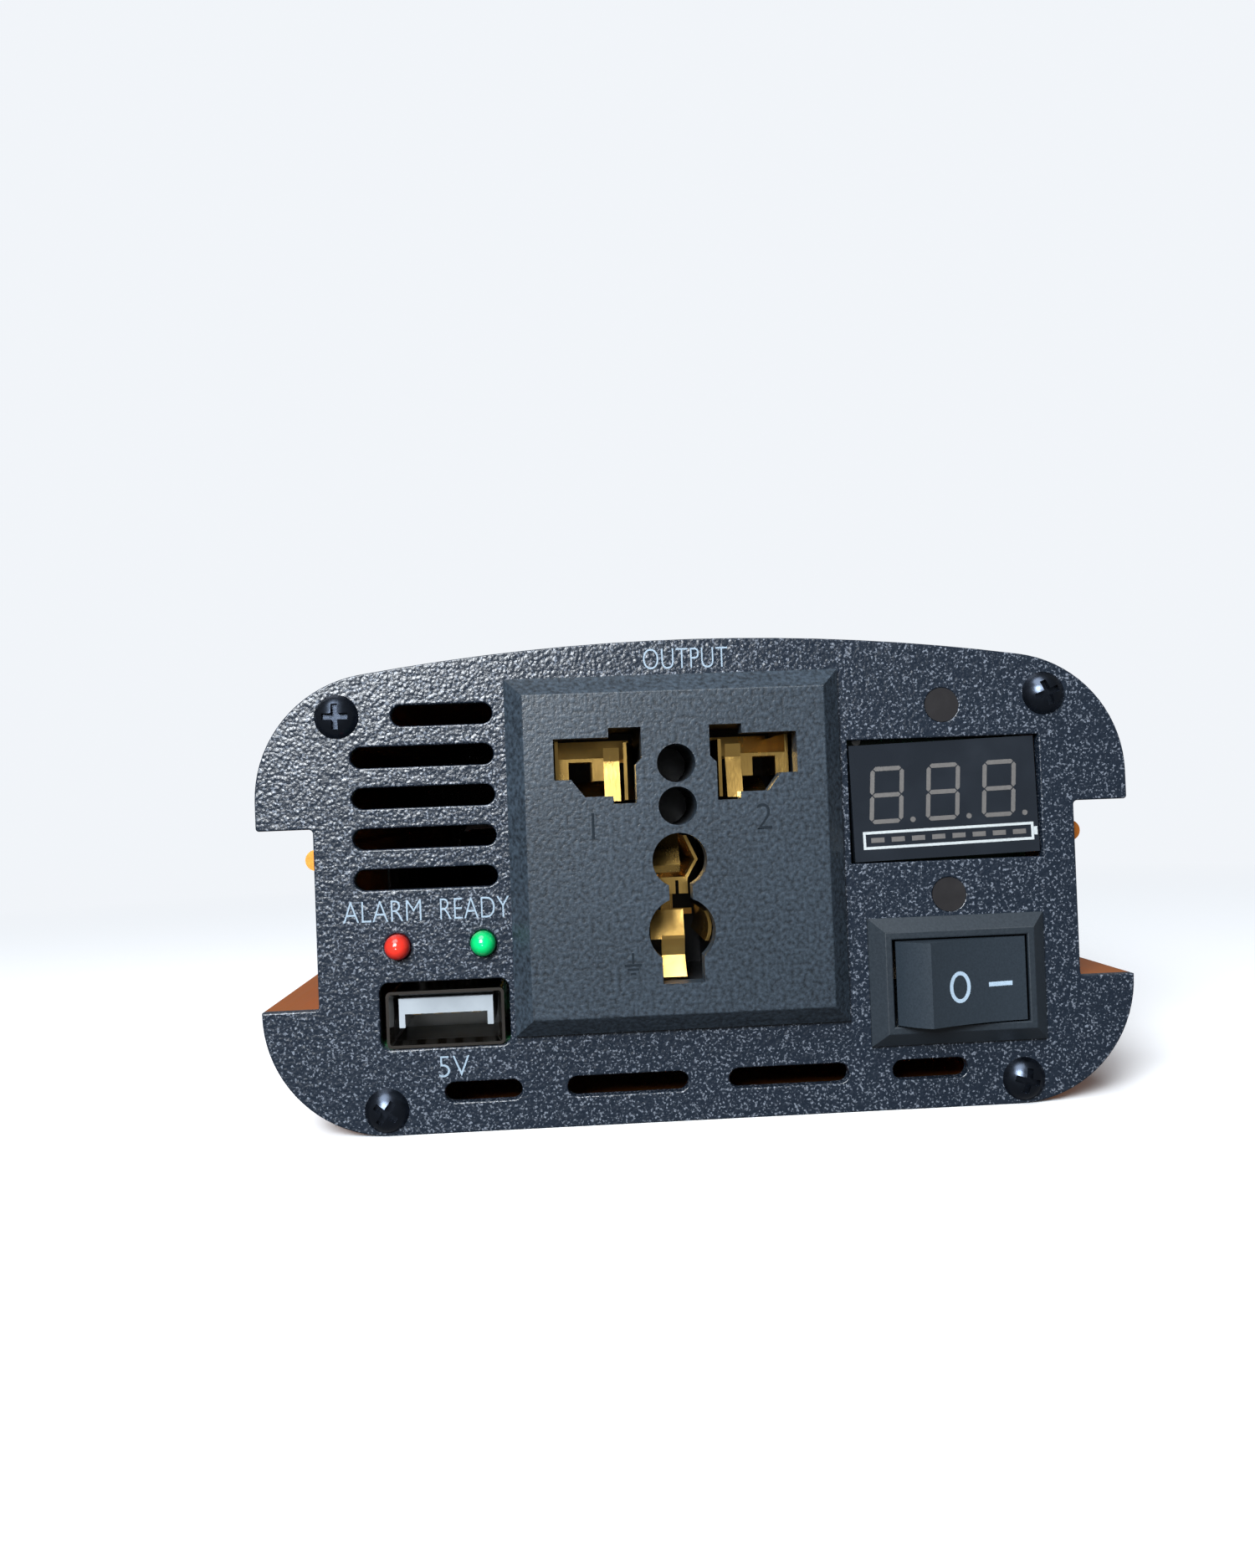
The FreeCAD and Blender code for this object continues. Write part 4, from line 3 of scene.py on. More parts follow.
import bmesh
import bpy
from bpy.props import FloatProperty, FloatVectorProperty, PointerProperty
from bpy.types import Operator, Panel, PropertyGroup
from mathutils import Matrix, Vector
from mathutils.bvhtree import BVHTree


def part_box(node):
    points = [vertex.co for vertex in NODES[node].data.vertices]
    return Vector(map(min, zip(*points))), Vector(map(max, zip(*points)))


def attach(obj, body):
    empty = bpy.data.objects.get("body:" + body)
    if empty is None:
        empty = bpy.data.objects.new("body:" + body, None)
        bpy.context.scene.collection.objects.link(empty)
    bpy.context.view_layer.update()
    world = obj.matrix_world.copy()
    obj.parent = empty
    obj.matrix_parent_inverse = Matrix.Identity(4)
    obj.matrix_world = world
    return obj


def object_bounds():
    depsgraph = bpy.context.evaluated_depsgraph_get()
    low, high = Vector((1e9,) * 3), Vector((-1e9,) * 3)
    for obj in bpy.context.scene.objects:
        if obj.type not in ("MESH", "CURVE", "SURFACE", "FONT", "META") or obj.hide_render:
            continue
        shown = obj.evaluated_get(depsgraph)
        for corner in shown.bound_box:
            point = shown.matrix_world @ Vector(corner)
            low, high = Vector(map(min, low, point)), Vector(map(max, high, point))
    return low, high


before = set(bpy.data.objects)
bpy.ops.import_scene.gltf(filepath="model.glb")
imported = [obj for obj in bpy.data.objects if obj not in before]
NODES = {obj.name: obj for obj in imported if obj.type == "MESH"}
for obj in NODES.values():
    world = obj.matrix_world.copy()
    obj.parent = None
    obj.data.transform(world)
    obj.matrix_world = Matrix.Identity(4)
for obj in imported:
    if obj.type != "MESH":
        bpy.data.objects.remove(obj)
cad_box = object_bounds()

bl_info = {
    "name": "Power Inverter Looks",
    "version": (1, 0, 0),
    "blender": (4, 5, 0),
    "location": "View3D > Sidebar > Inverter",
    "description": "Finishes, printed marks and lighting for a small power inverter",
    "category": "Object",
}

MM = 0.001
FRONT_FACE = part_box("front_panel")[0].y
REAR_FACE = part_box("rear_panel")[1].y
PANEL_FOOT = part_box("front_panel")[0].z
ROOT = "chassis"
BLACK = (0.0, 0.0, 0.0)
BACKDROP = (0.93, 0.96, 1.0)
LIGHT_TINT = (0.93, 0.97, 1.0)
FILM = 0.02 * MM  # thickness of the marks on the display and the switch
SINK = 0.01 * MM  # how far a mark's underside lies in what it is on


# ---------------------------------------------------------------- settings


def length(name, description, millimetres):
    """A size setting, given here in millimetres and kept in metres."""
    return FloatProperty(name=name, description=description, default=millimetres * MM, unit="LENGTH")


def colour(name, description, *rgb):
    """A colour setting."""
    return FloatVectorProperty(
        name=name, description=description, default=rgb, size=3, min=0.0, max=1.0, subtype="COLOR"
    )


def angle(name, description, degrees):
    """An angle setting, given here in degrees."""
    return FloatProperty(name=name, description=description, default=math.radians(degrees), subtype="ANGLE")


class InverterCase(PropertyGroup):
    anodised: colour("Anodising", "Colour of the extruded case", 0.86, 0.27, 0.05)
    die_line: length("Die lines", "Spacing of the fine lines along the extrusion", 0.25)


class InverterPanels(PropertyGroup):
    powder: colour("Powder coat", "Colour of both end panels", 0.007, 0.012, 0.021)
    grain: length("Grain", "Size of the powder coat's grains", 0.36)
    relief: length("Relief", "Height of the powder coat's grains", 0.11)


class InverterSocket(PropertyGroup):
    plastic: colour("Plastic", "Colour of the socket's face", 0.020, 0.029, 0.040)
    grain: length("Grain", "Size of the moulded texture", 0.24)
    brass: colour("Contacts", "Colour of the contact springs", 0.90, 0.56, 0.16)
    mark_height: length("Mark height", "Height of the pole numbers", 3.0)


class InverterPrint(PropertyGroup):
    ink: colour("Ink", "Colour of the printed words", 0.22, 0.29, 0.36)
    height: length("Height", "Height of the capital letters", 2.45)
    thickness: length("Thickness", "Thickness of the ink", 0.03)


class InverterDisplay(PropertyGroup):
    glass: colour("Window", "Colour of the display's window", 0.010, 0.013, 0.018)
    segment: colour("Segments", "Colour of the unlit segments", 0.10, 0.095, 0.092)
    gauge: colour("Gauge", "Colour of the battery gauge's frame", 0.40, 0.43, 0.44)
    digit_height: length("Digit height", "Height of a digit", 6.85)
    digit_width: length("Digit width", "Width of a digit", 4.1)
    digit_pitch: length("Digit pitch", "Distance between digits", 6.87)
    stroke: length("Stroke", "Width of a segment", 0.52)
    digits_left: length("Left", "Left side of the first digit", 20.75)
    digits_foot: length("Foot", "Foot of the digits above the panel's foot", 34.45)
    lean: angle("Lean", "How far the digits lean", 4.5)
    tilt: angle("Tilt", "How far the display sits askew", 1.3)


class InverterSwitch(PropertyGroup):
    plastic: colour("Plastic", "Colour of the switch and its rocker", 0.014, 0.020, 0.027)
    mark: colour("Marks", "Colour of the off ring and the on bar", 0.33, 0.43, 0.53)
    ring_height: length("Ring height", "Height of the off ring", 3.7)
    bar_length: length("Bar length", "Length of the on bar", 3.0)


class InverterLamps(PropertyGroup):
    fault: colour("Alarm lamp", "Colour of the alarm lamp", 0.78, 0.035, 0.02)
    ready: colour("Ready lamp", "Colour of the ready lamp", 0.0, 0.62, 0.17)
    radius: length("Radius", "Radius of a lens", 1.5)
    glow: FloatProperty(name="Glow", description="Brightness of a lamp's middle", default=0.35, min=0.0)


class InverterTerminals(PropertyGroup):
    positive: colour("Positive", "Colour of the positive terminal", 0.50, 0.012, 0.010)
    negative: colour("Negative", "Colour of the negative terminal", 0.012, 0.013, 0.015)
    brass: colour("Brass", "Colour of the turned studs and washers", 0.80, 0.58, 0.25)


class InverterStage(PropertyGroup):
    floor: colour("Floor", "Colour of the floor", 0.83, 0.84, 0.86)
    fade_start: length("Fade start", "How far out the floor starts to fade into the backdrop", 100)
    fade_end: length("Fade end", "How far out the floor is all backdrop", 420)
    floor_reach: length("Floor reach", "How far the floor goes each way", 6000)
    camera_place: FloatVectorProperty(
        name="Camera",
        description="Place of the camera",
        default=(-0.0164, -0.2301, 0.0384),
        subtype="TRANSLATION",
    )
    camera_yaw: angle("Yaw", "Camera's turn to the right", 3.081)
    camera_pitch: angle("Pitch", "Camera's tilt up", 0.686)
    camera_roll: angle("Roll", "Camera's roll", -2.175)
    lens: FloatProperty(name="Lens", description="Focal length in millimetres", default=28.8, min=10.0)
    key: FloatProperty(name="Key light", description="Power of the key light", default=3.1, unit="POWER")
    sun: FloatProperty(name="Sun", description="Strength of the light from above", default=2.6, min=0.0)
    glow: FloatProperty(name="Surround", description="Light from all round", default=0.18, min=0.0)
    haze: FloatProperty(name="Backdrop", description="Brightness of what shows behind", default=0.95, min=0.0)


SETTINGS = {
    "inverter_case": InverterCase,
    "inverter_panels": InverterPanels,
    "inverter_socket": InverterSocket,
    "inverter_print": InverterPrint,
    "inverter_display": InverterDisplay,
    "inverter_switch": InverterSwitch,
    "inverter_lamps": InverterLamps,
    "inverter_terminals": InverterTerminals,
    "inverter_stage": InverterStage,
}


# ---------------------------------------------------------------- materials


class Wire:
    """A node's output. Arithmetic on it adds the Math nodes that work it out."""

    def __init__(self, graph, socket):
        self.graph = graph
        self.socket = socket

    def math(self, operation, first, second):
        return self.graph.node("ShaderNodeMath", {"operation": operation}, {0: first, 1: second})

    def __add__(self, other):
        return self.math("ADD", self, other)

    def __radd__(self, other):
        return self.math("ADD", other, self)

    def __rsub__(self, other):
        return self.math("SUBTRACT", other, self)

    def __mul__(self, other):
        return self.math("MULTIPLY", self, other)

    def __rmul__(self, other):
        return self.math("MULTIPLY", other, self)

    def __gt__(self, other):
        return self.math("GREATER_THAN", self, other)

    def __lt__(self, other):
        return self.math("LESS_THAN", self, other)


class Graph:
    """A node tree, and the one way that nodes are added to it."""

    def __init__(self, tree):
        self.tree = tree
        tree.nodes.clear()

    def put(self, socket, value):
        """Gives a socket a link, a number, a vector or a colour."""
        if isinstance(value, Wire):
            self.tree.links.new(value.socket, socket)
        elif socket.type == "RGBA":
            socket.default_value = (*value, 1.0)
        else:
            socket.default_value = value

    def node(self, kind, settings=None, values=None, output=0):
        """Adds a node with its settings, then its inputs, and returns one of its outputs."""
        made = self.tree.nodes.new(kind)
        for name, value in (settings or {}).items():
            setattr(made, name, value)
        for key, value in (values or {}).items():
            self.put(made.inputs[key], value)
        return Wire(self, made.outputs[output]) if made.outputs else None


class Finish(Graph):
    """A material with one Principled shader, and the nodes that feed it."""

    def __init__(self, name, **constants):
        self.material = bpy.data.materials.new(name)
        self.material.use_nodes = True
        super().__init__(self.material.node_tree)
        shaded = self.node("ShaderNodeBsdfPrincipled")
        self.shader = shaded.socket.node
        self.node("ShaderNodeOutputMaterial", None, {"Surface": shaded})
        for socket, value in constants.items():
            self.feed(socket.replace("_", " "), value)
        self.place = self.node("ShaderNodeTexCoord", output="Object")

    def feed(self, socket, value):
        """Feeds one of the shader's sockets, named as Blender names it."""
        self.put(self.shader.inputs[socket], value)

    def vector(self, operation, first, second):
        """One step of arithmetic on two vectors."""
        return self.node("ShaderNodeVectorMath", {"operation": operation}, {0: first, 1: second})

    def reach(self, vector):
        """A vector's length."""
        return self.node("ShaderNodeVectorMath", {"operation": "LENGTH"}, {0: vector}, output="Value")

    def noise(self, size, detail=2.0, stretch=(1, 1, 1)):
        """Soft noise from 0 to 1 whose lumps are about size across, in metres."""
        place = self.vector("MULTIPLY", self.place, stretch)
        values = {"Vector": place, "Scale": 0.5 / size, "Detail": detail}
        return self.node("ShaderNodeTexNoise", None, values)

    def cells(self, size):
        """The distance to the nearest of scattered points about size apart."""
        return self.node("ShaderNodeTexVoronoi", None, {"Vector": self.place, "Scale": 1.0 / size})

    def bands(self, size, axis):
        """Even stripes across an axis, each size wide."""
        settings = {"wave_type": "BANDS", "bands_direction": axis}
        return self.node("ShaderNodeTexWave", settings, {"Vector": self.place, "Scale": 0.314 / size})

    def part(self, axis):
        """One coordinate of the place on the object."""
        return self.node("ShaderNodeSeparateXYZ", None, {0: self.place}, output=axis)

    def between(self, value, low, high):
        """Value rescaled so that low gives 0 and high gives 1, held there outside."""
        values = {"Value": value, "From Min": low, "From Max": high}
        return self.node("ShaderNodeMapRange", None, values)

    def mix(self, factor, first, second):
        """A colour between two colours."""
        values = {0: factor, 6: first, 7: second}
        return self.node("ShaderNodeMix", {"data_type": "RGBA"}, values, output=2)

    def bump(self, height, distance):
        """Raises the surface by up to distance, in metres, where height is 1."""
        values = {"Height": height, "Distance": distance, "Strength": 1.0}
        self.feed("Normal", self.node("ShaderNodeBump", None, values))


def shade(rgb, factor):
    """A colour made darker or lighter."""
    return tuple(min(1.0, channel * factor) for channel in rgb)


def powder_coat(name, rgb, grain, relief):
    """Coarse textured powder coat, with scattered pale specks that are painted glints of the light."""
    finish = Finish(name)
    lumps = finish.noise(grain)
    domes = finish.between(finish.cells(grain * 1.3), 0.75, 0.05)
    finish.bump(lumps * 0.9 + domes * 0.35, relief)
    # The pale specks mixed into the base colour are painted glints, standing in for the light caught by the
    # grains.
    painted_glint_specks = finish.between(finish.noise(grain * 0.36, 1.0), 0.57, 0.72)
    glint = tuple(0.11 + 4.0 * channel for channel in rgb)
    finish.feed("Base Color", finish.mix(painted_glint_specks, rgb, glint))
    finish.feed("Roughness", 0.20 + 0.2 * finish.noise(grain * 0.5))
    return finish.material


def moulded(name, rgb, rough=0.45, grain=0.2 * MM, relief=0.008 * MM, contrast=0.15, **constants):
    """Fine-grained moulding; contrast is how far its grain's colour varies."""
    finish = Finish(name, **constants)
    lumps = finish.noise(grain)
    finish.bump(lumps, relief)
    tint = finish.between(lumps, 0.3, 0.7) * 0.7 + 0.3 * finish.noise(6 * MM)
    finish.feed("Base Color", finish.mix(tint, shade(rgb, 1 - contrast), shade(rgb, 1 + contrast)))
    finish.feed("Roughness", rough - 0.08 + 0.16 * lumps)
    return finish.material


def glossy(name, rgb, rough=0.12, smudge=0.12, **constants):
    """Smooth polished plastic with faint smudges."""
    finish = Finish(name, **constants)
    smear = finish.between(finish.noise(3 * MM, 4.0), 0.45, 0.75)
    finish.feed("Base Color", finish.mix(smear, rgb, shade(rgb, 1.25)))
    finish.feed("Roughness", rough + smudge * smear)
    finish.bump(finish.noise(2 * MM), 0.004 * MM)
    return finish.material


def metal(name, rgb, rough=0.25, stretch=(1, 1, 1), grain=0.08 * MM, relief=0.003 * MM, tarnish=0.75):
    """Metal with fine marks, long across the axes whose stretch is small, and darker patches."""
    finish = Finish(name, Metallic=1.0)
    marks = finish.noise(grain, 3.0, stretch)
    patches = finish.between(finish.noise(2.5 * MM, 3.0), 0.42, 0.72)
    finish.bump(marks, relief)
    finish.feed("Base Color", finish.mix(patches, rgb, shade(rgb, tarnish)))
    finish.feed("Roughness", rough - 0.06 + 0.12 * marks + 0.08 * patches)
    return finish.material


def anodised(name, rgb, die_line):
    """Satin anodised extrusion, with die lines along its length."""
    finish = Finish(name, Metallic=0.92)
    lines = finish.noise(die_line, 4.0, (1.0, 0.012, 1.0))
    etch = finish.noise(0.06 * MM)
    finish.bump(lines * 0.7 + etch * 0.3, 0.010 * MM)
    finish.feed("Base Color", finish.mix(finish.noise(14 * MM), shade(rgb, 0.9), shade(rgb, 1.08)))
    finish.feed("Roughness", 0.30 + 0.14 * lines)
    return finish.material


def solder_mask(name, rgb):
    """A circuit board's lacquer over its copper tracks, with tinned pads."""
    finish = Finish(name, Coat_Weight=0.4, Coat_Roughness=0.15)
    layout = {"offset": 0.37, "squash": 1.7, "squash_frequency": 3}
    sizes = {"Scale": 120.0, "Mortar Size": 0.035, "Brick Width": 0.9, "Row Height": 0.35}
    tracks = finish.node("ShaderNodeTexBrick", layout, {"Vector": finish.place, **sizes}, output="Fac")
    pads = finish.cells(4.2 * MM) < 0.17
    lacquer = finish.mix(tracks, rgb, shade(rgb, 2.2))
    finish.feed("Base Color", finish.mix(pads, lacquer, (0.62, 0.62, 0.60)))
    finish.feed("Metallic", pads * 0.9)
    finish.feed("Roughness", 0.38 - 0.1 * pads)
    finish.bump(tracks * 0.5 + pads, 0.03 * MM)
    return finish.material


def tinned_package(name, rgb, leg_top):
    """A moulded package whose legs, below leg_top, are tinned."""
    finish = Finish(name)
    legs = finish.part(2) < leg_top
    grit = finish.noise(0.12 * MM, 3.0)
    finish.feed("Base Color", finish.mix(legs, rgb, (0.60, 0.60, 0.58)))
    finish.feed("Metallic", legs * 0.95)
    finish.feed("Roughness", 0.55 - 0.25 * legs + 0.1 * grit)
    finish.bump(grit, 0.012 * MM)
    return finish.material


def topped_can(name, rgb, top):
    """A capacitor's sleeve, with its bare aluminium top."""
    finish = Finish(name)
    bare = finish.part(2) > top
    stripe = finish.between(finish.noise(5 * MM, 0.0), 0.48, 0.52) * 0.5
    sleeve = finish.mix(stripe, rgb, shade(rgb, 1.6))
    finish.feed("Base Color", finish.mix(bare, sleeve, (0.75, 0.75, 0.76)))
    finish.feed("Metallic", bare * 0.95)
    finish.feed("Roughness", 0.22 + 0.12 * finish.noise(0.3 * MM))
    finish.bump(finish.noise(1.5 * MM), 0.02 * MM)
    return finish.material


def wound(name, rgb, pitch, axis, rough=0.3, metallic=0.0):
    """Turns of wire or tape side by side."""
    finish = Finish(name, Metallic=metallic)
    turns = finish.bands(pitch, axis)
    # Darker where the bump sinks between turns: painted shade in the grooves.
    finish.feed("Base Color", finish.mix(turns, shade(rgb, 0.45), rgb))
    finish.feed("Roughness", rough + 0.1 * finish.noise(1 * MM))
    finish.bump(turns, pitch * 0.25)
    return finish.material


def lamp_lens(name, rgb, middle, radius, glow):
    """A diffused lamp's lens, with a painted glow brightest along its axis and painted shade darkening it
    towards its rim.
    """
    finish = Finish(name, IOR=1.5, Transmission_Weight=0.15, Emission_Strength=glow, Subsurface_Weight=0.25)
    finish.feed("Subsurface Radius", (1.0, 1.0, 1.0))
    finish.feed("Subsurface Scale", 1.2 * MM)
    offset = finish.vector("SUBTRACT", finish.place, tuple(middle))
    across = finish.vector("MULTIPLY", offset, (1, 0, 1))
    # Painted light: a glow and a paler colour in the middle, and painted shade darkening the colour towards
    # the rim.
    core = finish.between(finish.reach(across), radius, radius * 0.15)
    finish.feed("Base Color", finish.mix(core, shade(rgb, 0.45), rgb))
    finish.feed("Emission Color", finish.mix(core, BLACK, rgb))
    finish.feed("Roughness", 0.12 + 0.08 * finish.noise(1 * MM))
    return finish.material


def dress(material, *names):
    """Gives CAD nodes a material."""
    for name in names:
        for holder in NODES[name].material_slots:
            holder.material = material


# ---------------------------------------------------------------- meshes


def put_in_scene(name, mesh, material, body=ROOT):
    """Makes an object of a mesh, and has it ride on a body."""
    mesh.materials.clear()
    mesh.materials.append(material)
    piece = bpy.data.objects.new(name, mesh)
    bpy.context.scene.collection.objects.link(piece)
    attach(piece, body)
    return piece


def mesh_from(name, shape):
    """Turns a bmesh into a mesh, with its normals outward."""
    bmesh.ops.recalc_face_normals(shape, faces=shape.faces)
    mesh = bpy.data.meshes.new(name)
    shape.to_mesh(mesh)
    shape.free()
    return mesh


def on_plane(level, outward=-1):
    """Lays a drawing on an upright plane: x across, z up, lift outward along Y."""

    def lay(x, z, lift):
        return Vector((x, level + lift * outward, z))

    return lay


def on_node(node):
    """Lays a drawing on a CAD node's own front surface, wherever that is."""
    points = [v.co.copy() for v in NODES[node].data.vertices]
    faces = [tuple(face.vertices) for face in NODES[node].data.polygons]
    tree = BVHTree.FromPolygons(points, faces)
    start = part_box(node)[0].y - 10 * MM

    def lay(x, z, lift):
        hit = tree.ray_cast(Vector((x, start, z)), Vector((0, 1, 0)))[0]
        if hit is None:
            raise RuntimeError("the mark on %s misses it at %.4f, %.4f" % (node, x, z))
        return hit + Vector((0, -lift, 0))

    return lay


def tilted(place, middle, angle):
    """Turns a drawing about a point before it is laid down."""
    cosine, sine = math.cos(angle), math.sin(angle)

    def lay(x, z, lift):
        across, up = x - middle[0], z - middle[1]
        return place(middle[0] + across * cosine - up * sine, middle[1] + across * sine + up * cosine, lift)

    return lay


def add_plate(shape, outline, place, thick):
    """Adds a thin plate with this outline, sunk a little in what it lies on."""
    front = [shape.verts.new(place(x, z, thick)) for x, z in outline]
    back = [shape.verts.new(place(x, z, -SINK)) for x, z in outline]
    shape.faces.new(front)
    shape.faces.new(back[::-1])
    count = len(outline)
    for i in range(count):
        j = (i + 1) % count
        shape.faces.new((front[i], front[j], back[j], back[i]))


def add_loop(shape, outer, inner, place, thick):
    """Adds a thin closed frame between two outlines with as many points."""
    levels = [(thick, outer), (thick, inner), (-SINK, inner), (-SINK, outer)]
    rings = [[shape.verts.new(place(x, z, lift)) for x, z in points] for lift, points in levels]
    count = len(outer)
    for i in range(count):
        j = (i + 1) % count
        for near, far in zip(rings, rings[1:] + rings[:1]):
            shape.faces.new((near[i], near[j], far[j], far[i]))


def ellipse(x, z, wide, tall, count=48):
    """Points round an ellipse."""
    turns = [2 * math.pi * i / count for i in range(count)]
    return [(x + wide / 2 * math.cos(a), z + tall / 2 * math.sin(a)) for a in turns]


def box_outline(x, z, wide, tall, pieces=1):
    """A rectangle's outline about its middle, its level sides divided into pieces."""
    steps = [-0.5 + i / pieces for i in range(pieces + 1)]
    low = [(x + wide * s, z - tall / 2) for s in steps]
    high = [(x + wide * s, z + tall / 2) for s in reversed(steps)]
    return low + high


def words_mesh(name, words, left, foot, tall, thick, level, wide=None):
    """Lettering as thin closed solids that face the front, tall high, and wide across if stated."""
    thinner = 0.016  # how much each stroke is thinned, as a share of the letters' size
    curve = bpy.data.curves.new(name, "FONT")
    curve.body = words
    curve.extrude = 0.5
    curve.offset = -thinner
    curve.resolution_u = 6
    holder = bpy.data.objects.new(name, curve)
    bpy.context.scene.collection.objects.link(holder)
    bpy.context.view_layer.update()
    mesh = bpy.data.meshes.new_from_object(holder.evaluated_get(bpy.context.evaluated_depsgraph_get()))
    bpy.data.objects.remove(holder)
    bpy.data.curves.remove(curve)
    low = Vector(min(v.co[i] for v in mesh.vertices) for i in range(3))
    high = Vector(max(v.co[i] for v in mesh.vertices) for i in range(3))
    up = tall / (high.y - low.y)
    across = wide / (high.x - low.x) if wide else up
    for vertex in mesh.vertices:
        x, y, z = vertex.co - low
        vertex.co = (left + x * across, level - z * thick / (high.z - low.z), foot + y * up)
    shape = bmesh.new()
    shape.from_mesh(mesh)
    bmesh.ops.remove_doubles(shape, verts=shape.verts, dist=0.0005 * MM)
    bpy.data.meshes.remove(mesh)
    return mesh_from(name, shape)


# ---------------------------------------------------------------- operators


class INVERTER_OT_case(Operator):
    """Finish the two-part extruded case"""

    bl_idname = "inverter.case"
    bl_label = "Case"

    def execute(self, context):
        look = context.scene.inverter_case
        dress(anodised("orange_anodising", look.anodised, look.die_line), "top_shell", "bottom_shell")
        return {"FINISHED"}


class INVERTER_OT_panels(Operator):
    """Finish the end panels and every screw that holds them and the fan"""

    bl_idname = "inverter.panels"
    bl_label = "End panels"

    def execute(self, context):
        look = context.scene.inverter_panels
        coat = powder_coat("black_powder_coat", look.powder, look.grain, look.relief)
        dress(coat, "front_panel", "rear_panel")
        screw = metal("black_oxide", (0.045, 0.055, 0.075), rough=0.28, grain=0.3 * MM, relief=0.012 * MM)
        dress(screw, "panel_screws", "fan_screws")
        return {"FINISHED"}


class INVERTER_OT_socket(Operator):
    """Finish the mains socket and its contacts, and add the pole marks"""

    bl_idname = "inverter.socket"
    bl_label = "Mains socket"

    def execute(self, context):
        look = context.scene.inverter_socket
        face = moulded("socket_plastic", look.plastic, 0.36, look.grain, 0.055 * MM, 0.8)
        dress(face, "socket_faceplate")
        dress(moulded("socket_body_plastic", (0.012, 0.013, 0.015)), "socket_housing", "socket_back_cover")
        dress(metal("spring_brass", look.brass, 0.2, (1, 1, 0.06)), "pole_contacts", "earth_contact")
        self.add_marks(look)
        return {"FINISHED"}

    def add_marks(self, look):
        """Raised pole numbers and an earth symbol, in the face's plastic darkened with painted shade."""
        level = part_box("socket_faceplate")[0].y
        # The marks are of the face's plastic; their halved colour is painted shade.
        ink = moulded("mark_plastic_painted_shade", shade(look.plastic, 0.5), 0.7, Specular_IOR_Level=0.1)
        thick, line = 0.05 * MM, 0.25 * MM
        poles = (
            ("pole_one", "1", -12.9 * MM, 33.9 * MM),
            ("pole_two", "2", 6.4 * MM, 34.3 * MM),
        )
        for name, number, left, foot in poles:
            mesh = words_mesh(name, number, left, foot, look.mark_height, thick, level + SINK)
            put_in_scene(name, mesh, ink)
        place = on_plane(level)
        shape = bmesh.new()
        earth_x, bar_z, bar_pitch, stem_tall = -8.7 * MM, 19.1 * MM, 0.5 * MM, 1.2 * MM
        stem = box_outline(earth_x, bar_z + 0.8 * MM, line, stem_tall)
        add_plate(shape, stem, place, thick)
        for step, wide in enumerate((2.0 * MM, 1.3 * MM, 0.6 * MM)):
            bar = box_outline(earth_x, bar_z - bar_pitch * step, wide, line)
            add_plate(shape, bar, place, thick)
        put_in_scene("earth_mark", mesh_from("earth_mark", shape), ink)


class INVERTER_OT_words(Operator):
    """Print the plain words beside the lamps and outlets, and the signs beside the posts"""

    bl_idname = "inverter.words"
    bl_label = "Printed words"

    def execute(self, context):
        look = context.scene.inverter_print
        ink = moulded("pale_ink", look.ink, 0.55, 0.15 * MM, 0.006 * MM)
        words = (
            ("word_alarm", "ALARM", -42.3 * MM, -33.2 * MM, 25.1 * MM),
            ("word_ready", "READY", -31.0 * MM, -22.9 * MM, 25.1 * MM),
            ("word_volts", "5V", -31.8 * MM, -28.2 * MM, 6.6 * MM),
            ("word_output", "OUTPUT", -6.0 * MM, 4.1 * MM, 53.7 * MM),
        )
        for name, word, left, right, foot in words:
            foot += PANEL_FOOT
            mesh = words_mesh(name, word, left, foot, look.height, look.thickness, FRONT_FACE, right - left)
            put_in_scene(name, mesh, ink)
        self.add_signs(ink, look.thickness)
        return {"FINISHED"}

    def add_signs(self, ink, thick):
        """A plus and a minus on the rear panel, above the posts."""
        place = on_plane(REAR_FACE, 1)
        arm, half, above = 2.2 * MM, 0.35 * MM, 4 * MM
        minus = [(-arm, -half), (arm, -half), (arm, half), (-arm, half)]
        quarter = [(arm, half), (half, half), (half, arm)]
        turns = [Matrix.Rotation(math.pi / 2 * i, 2) for i in range(4)]
        plus = [tuple(turn @ Vector(corner)) for turn in turns for corner in quarter]
        for name, node, outline in (
            ("plus_sign", "positive_insulator", plus),
            ("minus_sign", "negative_insulator", minus),
        ):
            low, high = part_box(node)
            x, z = (low.x + high.x) / 2, high.z + above
            shape = bmesh.new()
            add_plate(shape, [(x + across, z + up) for across, up in outline], place, thick)
            put_in_scene(name, mesh_from(name, shape), ink)


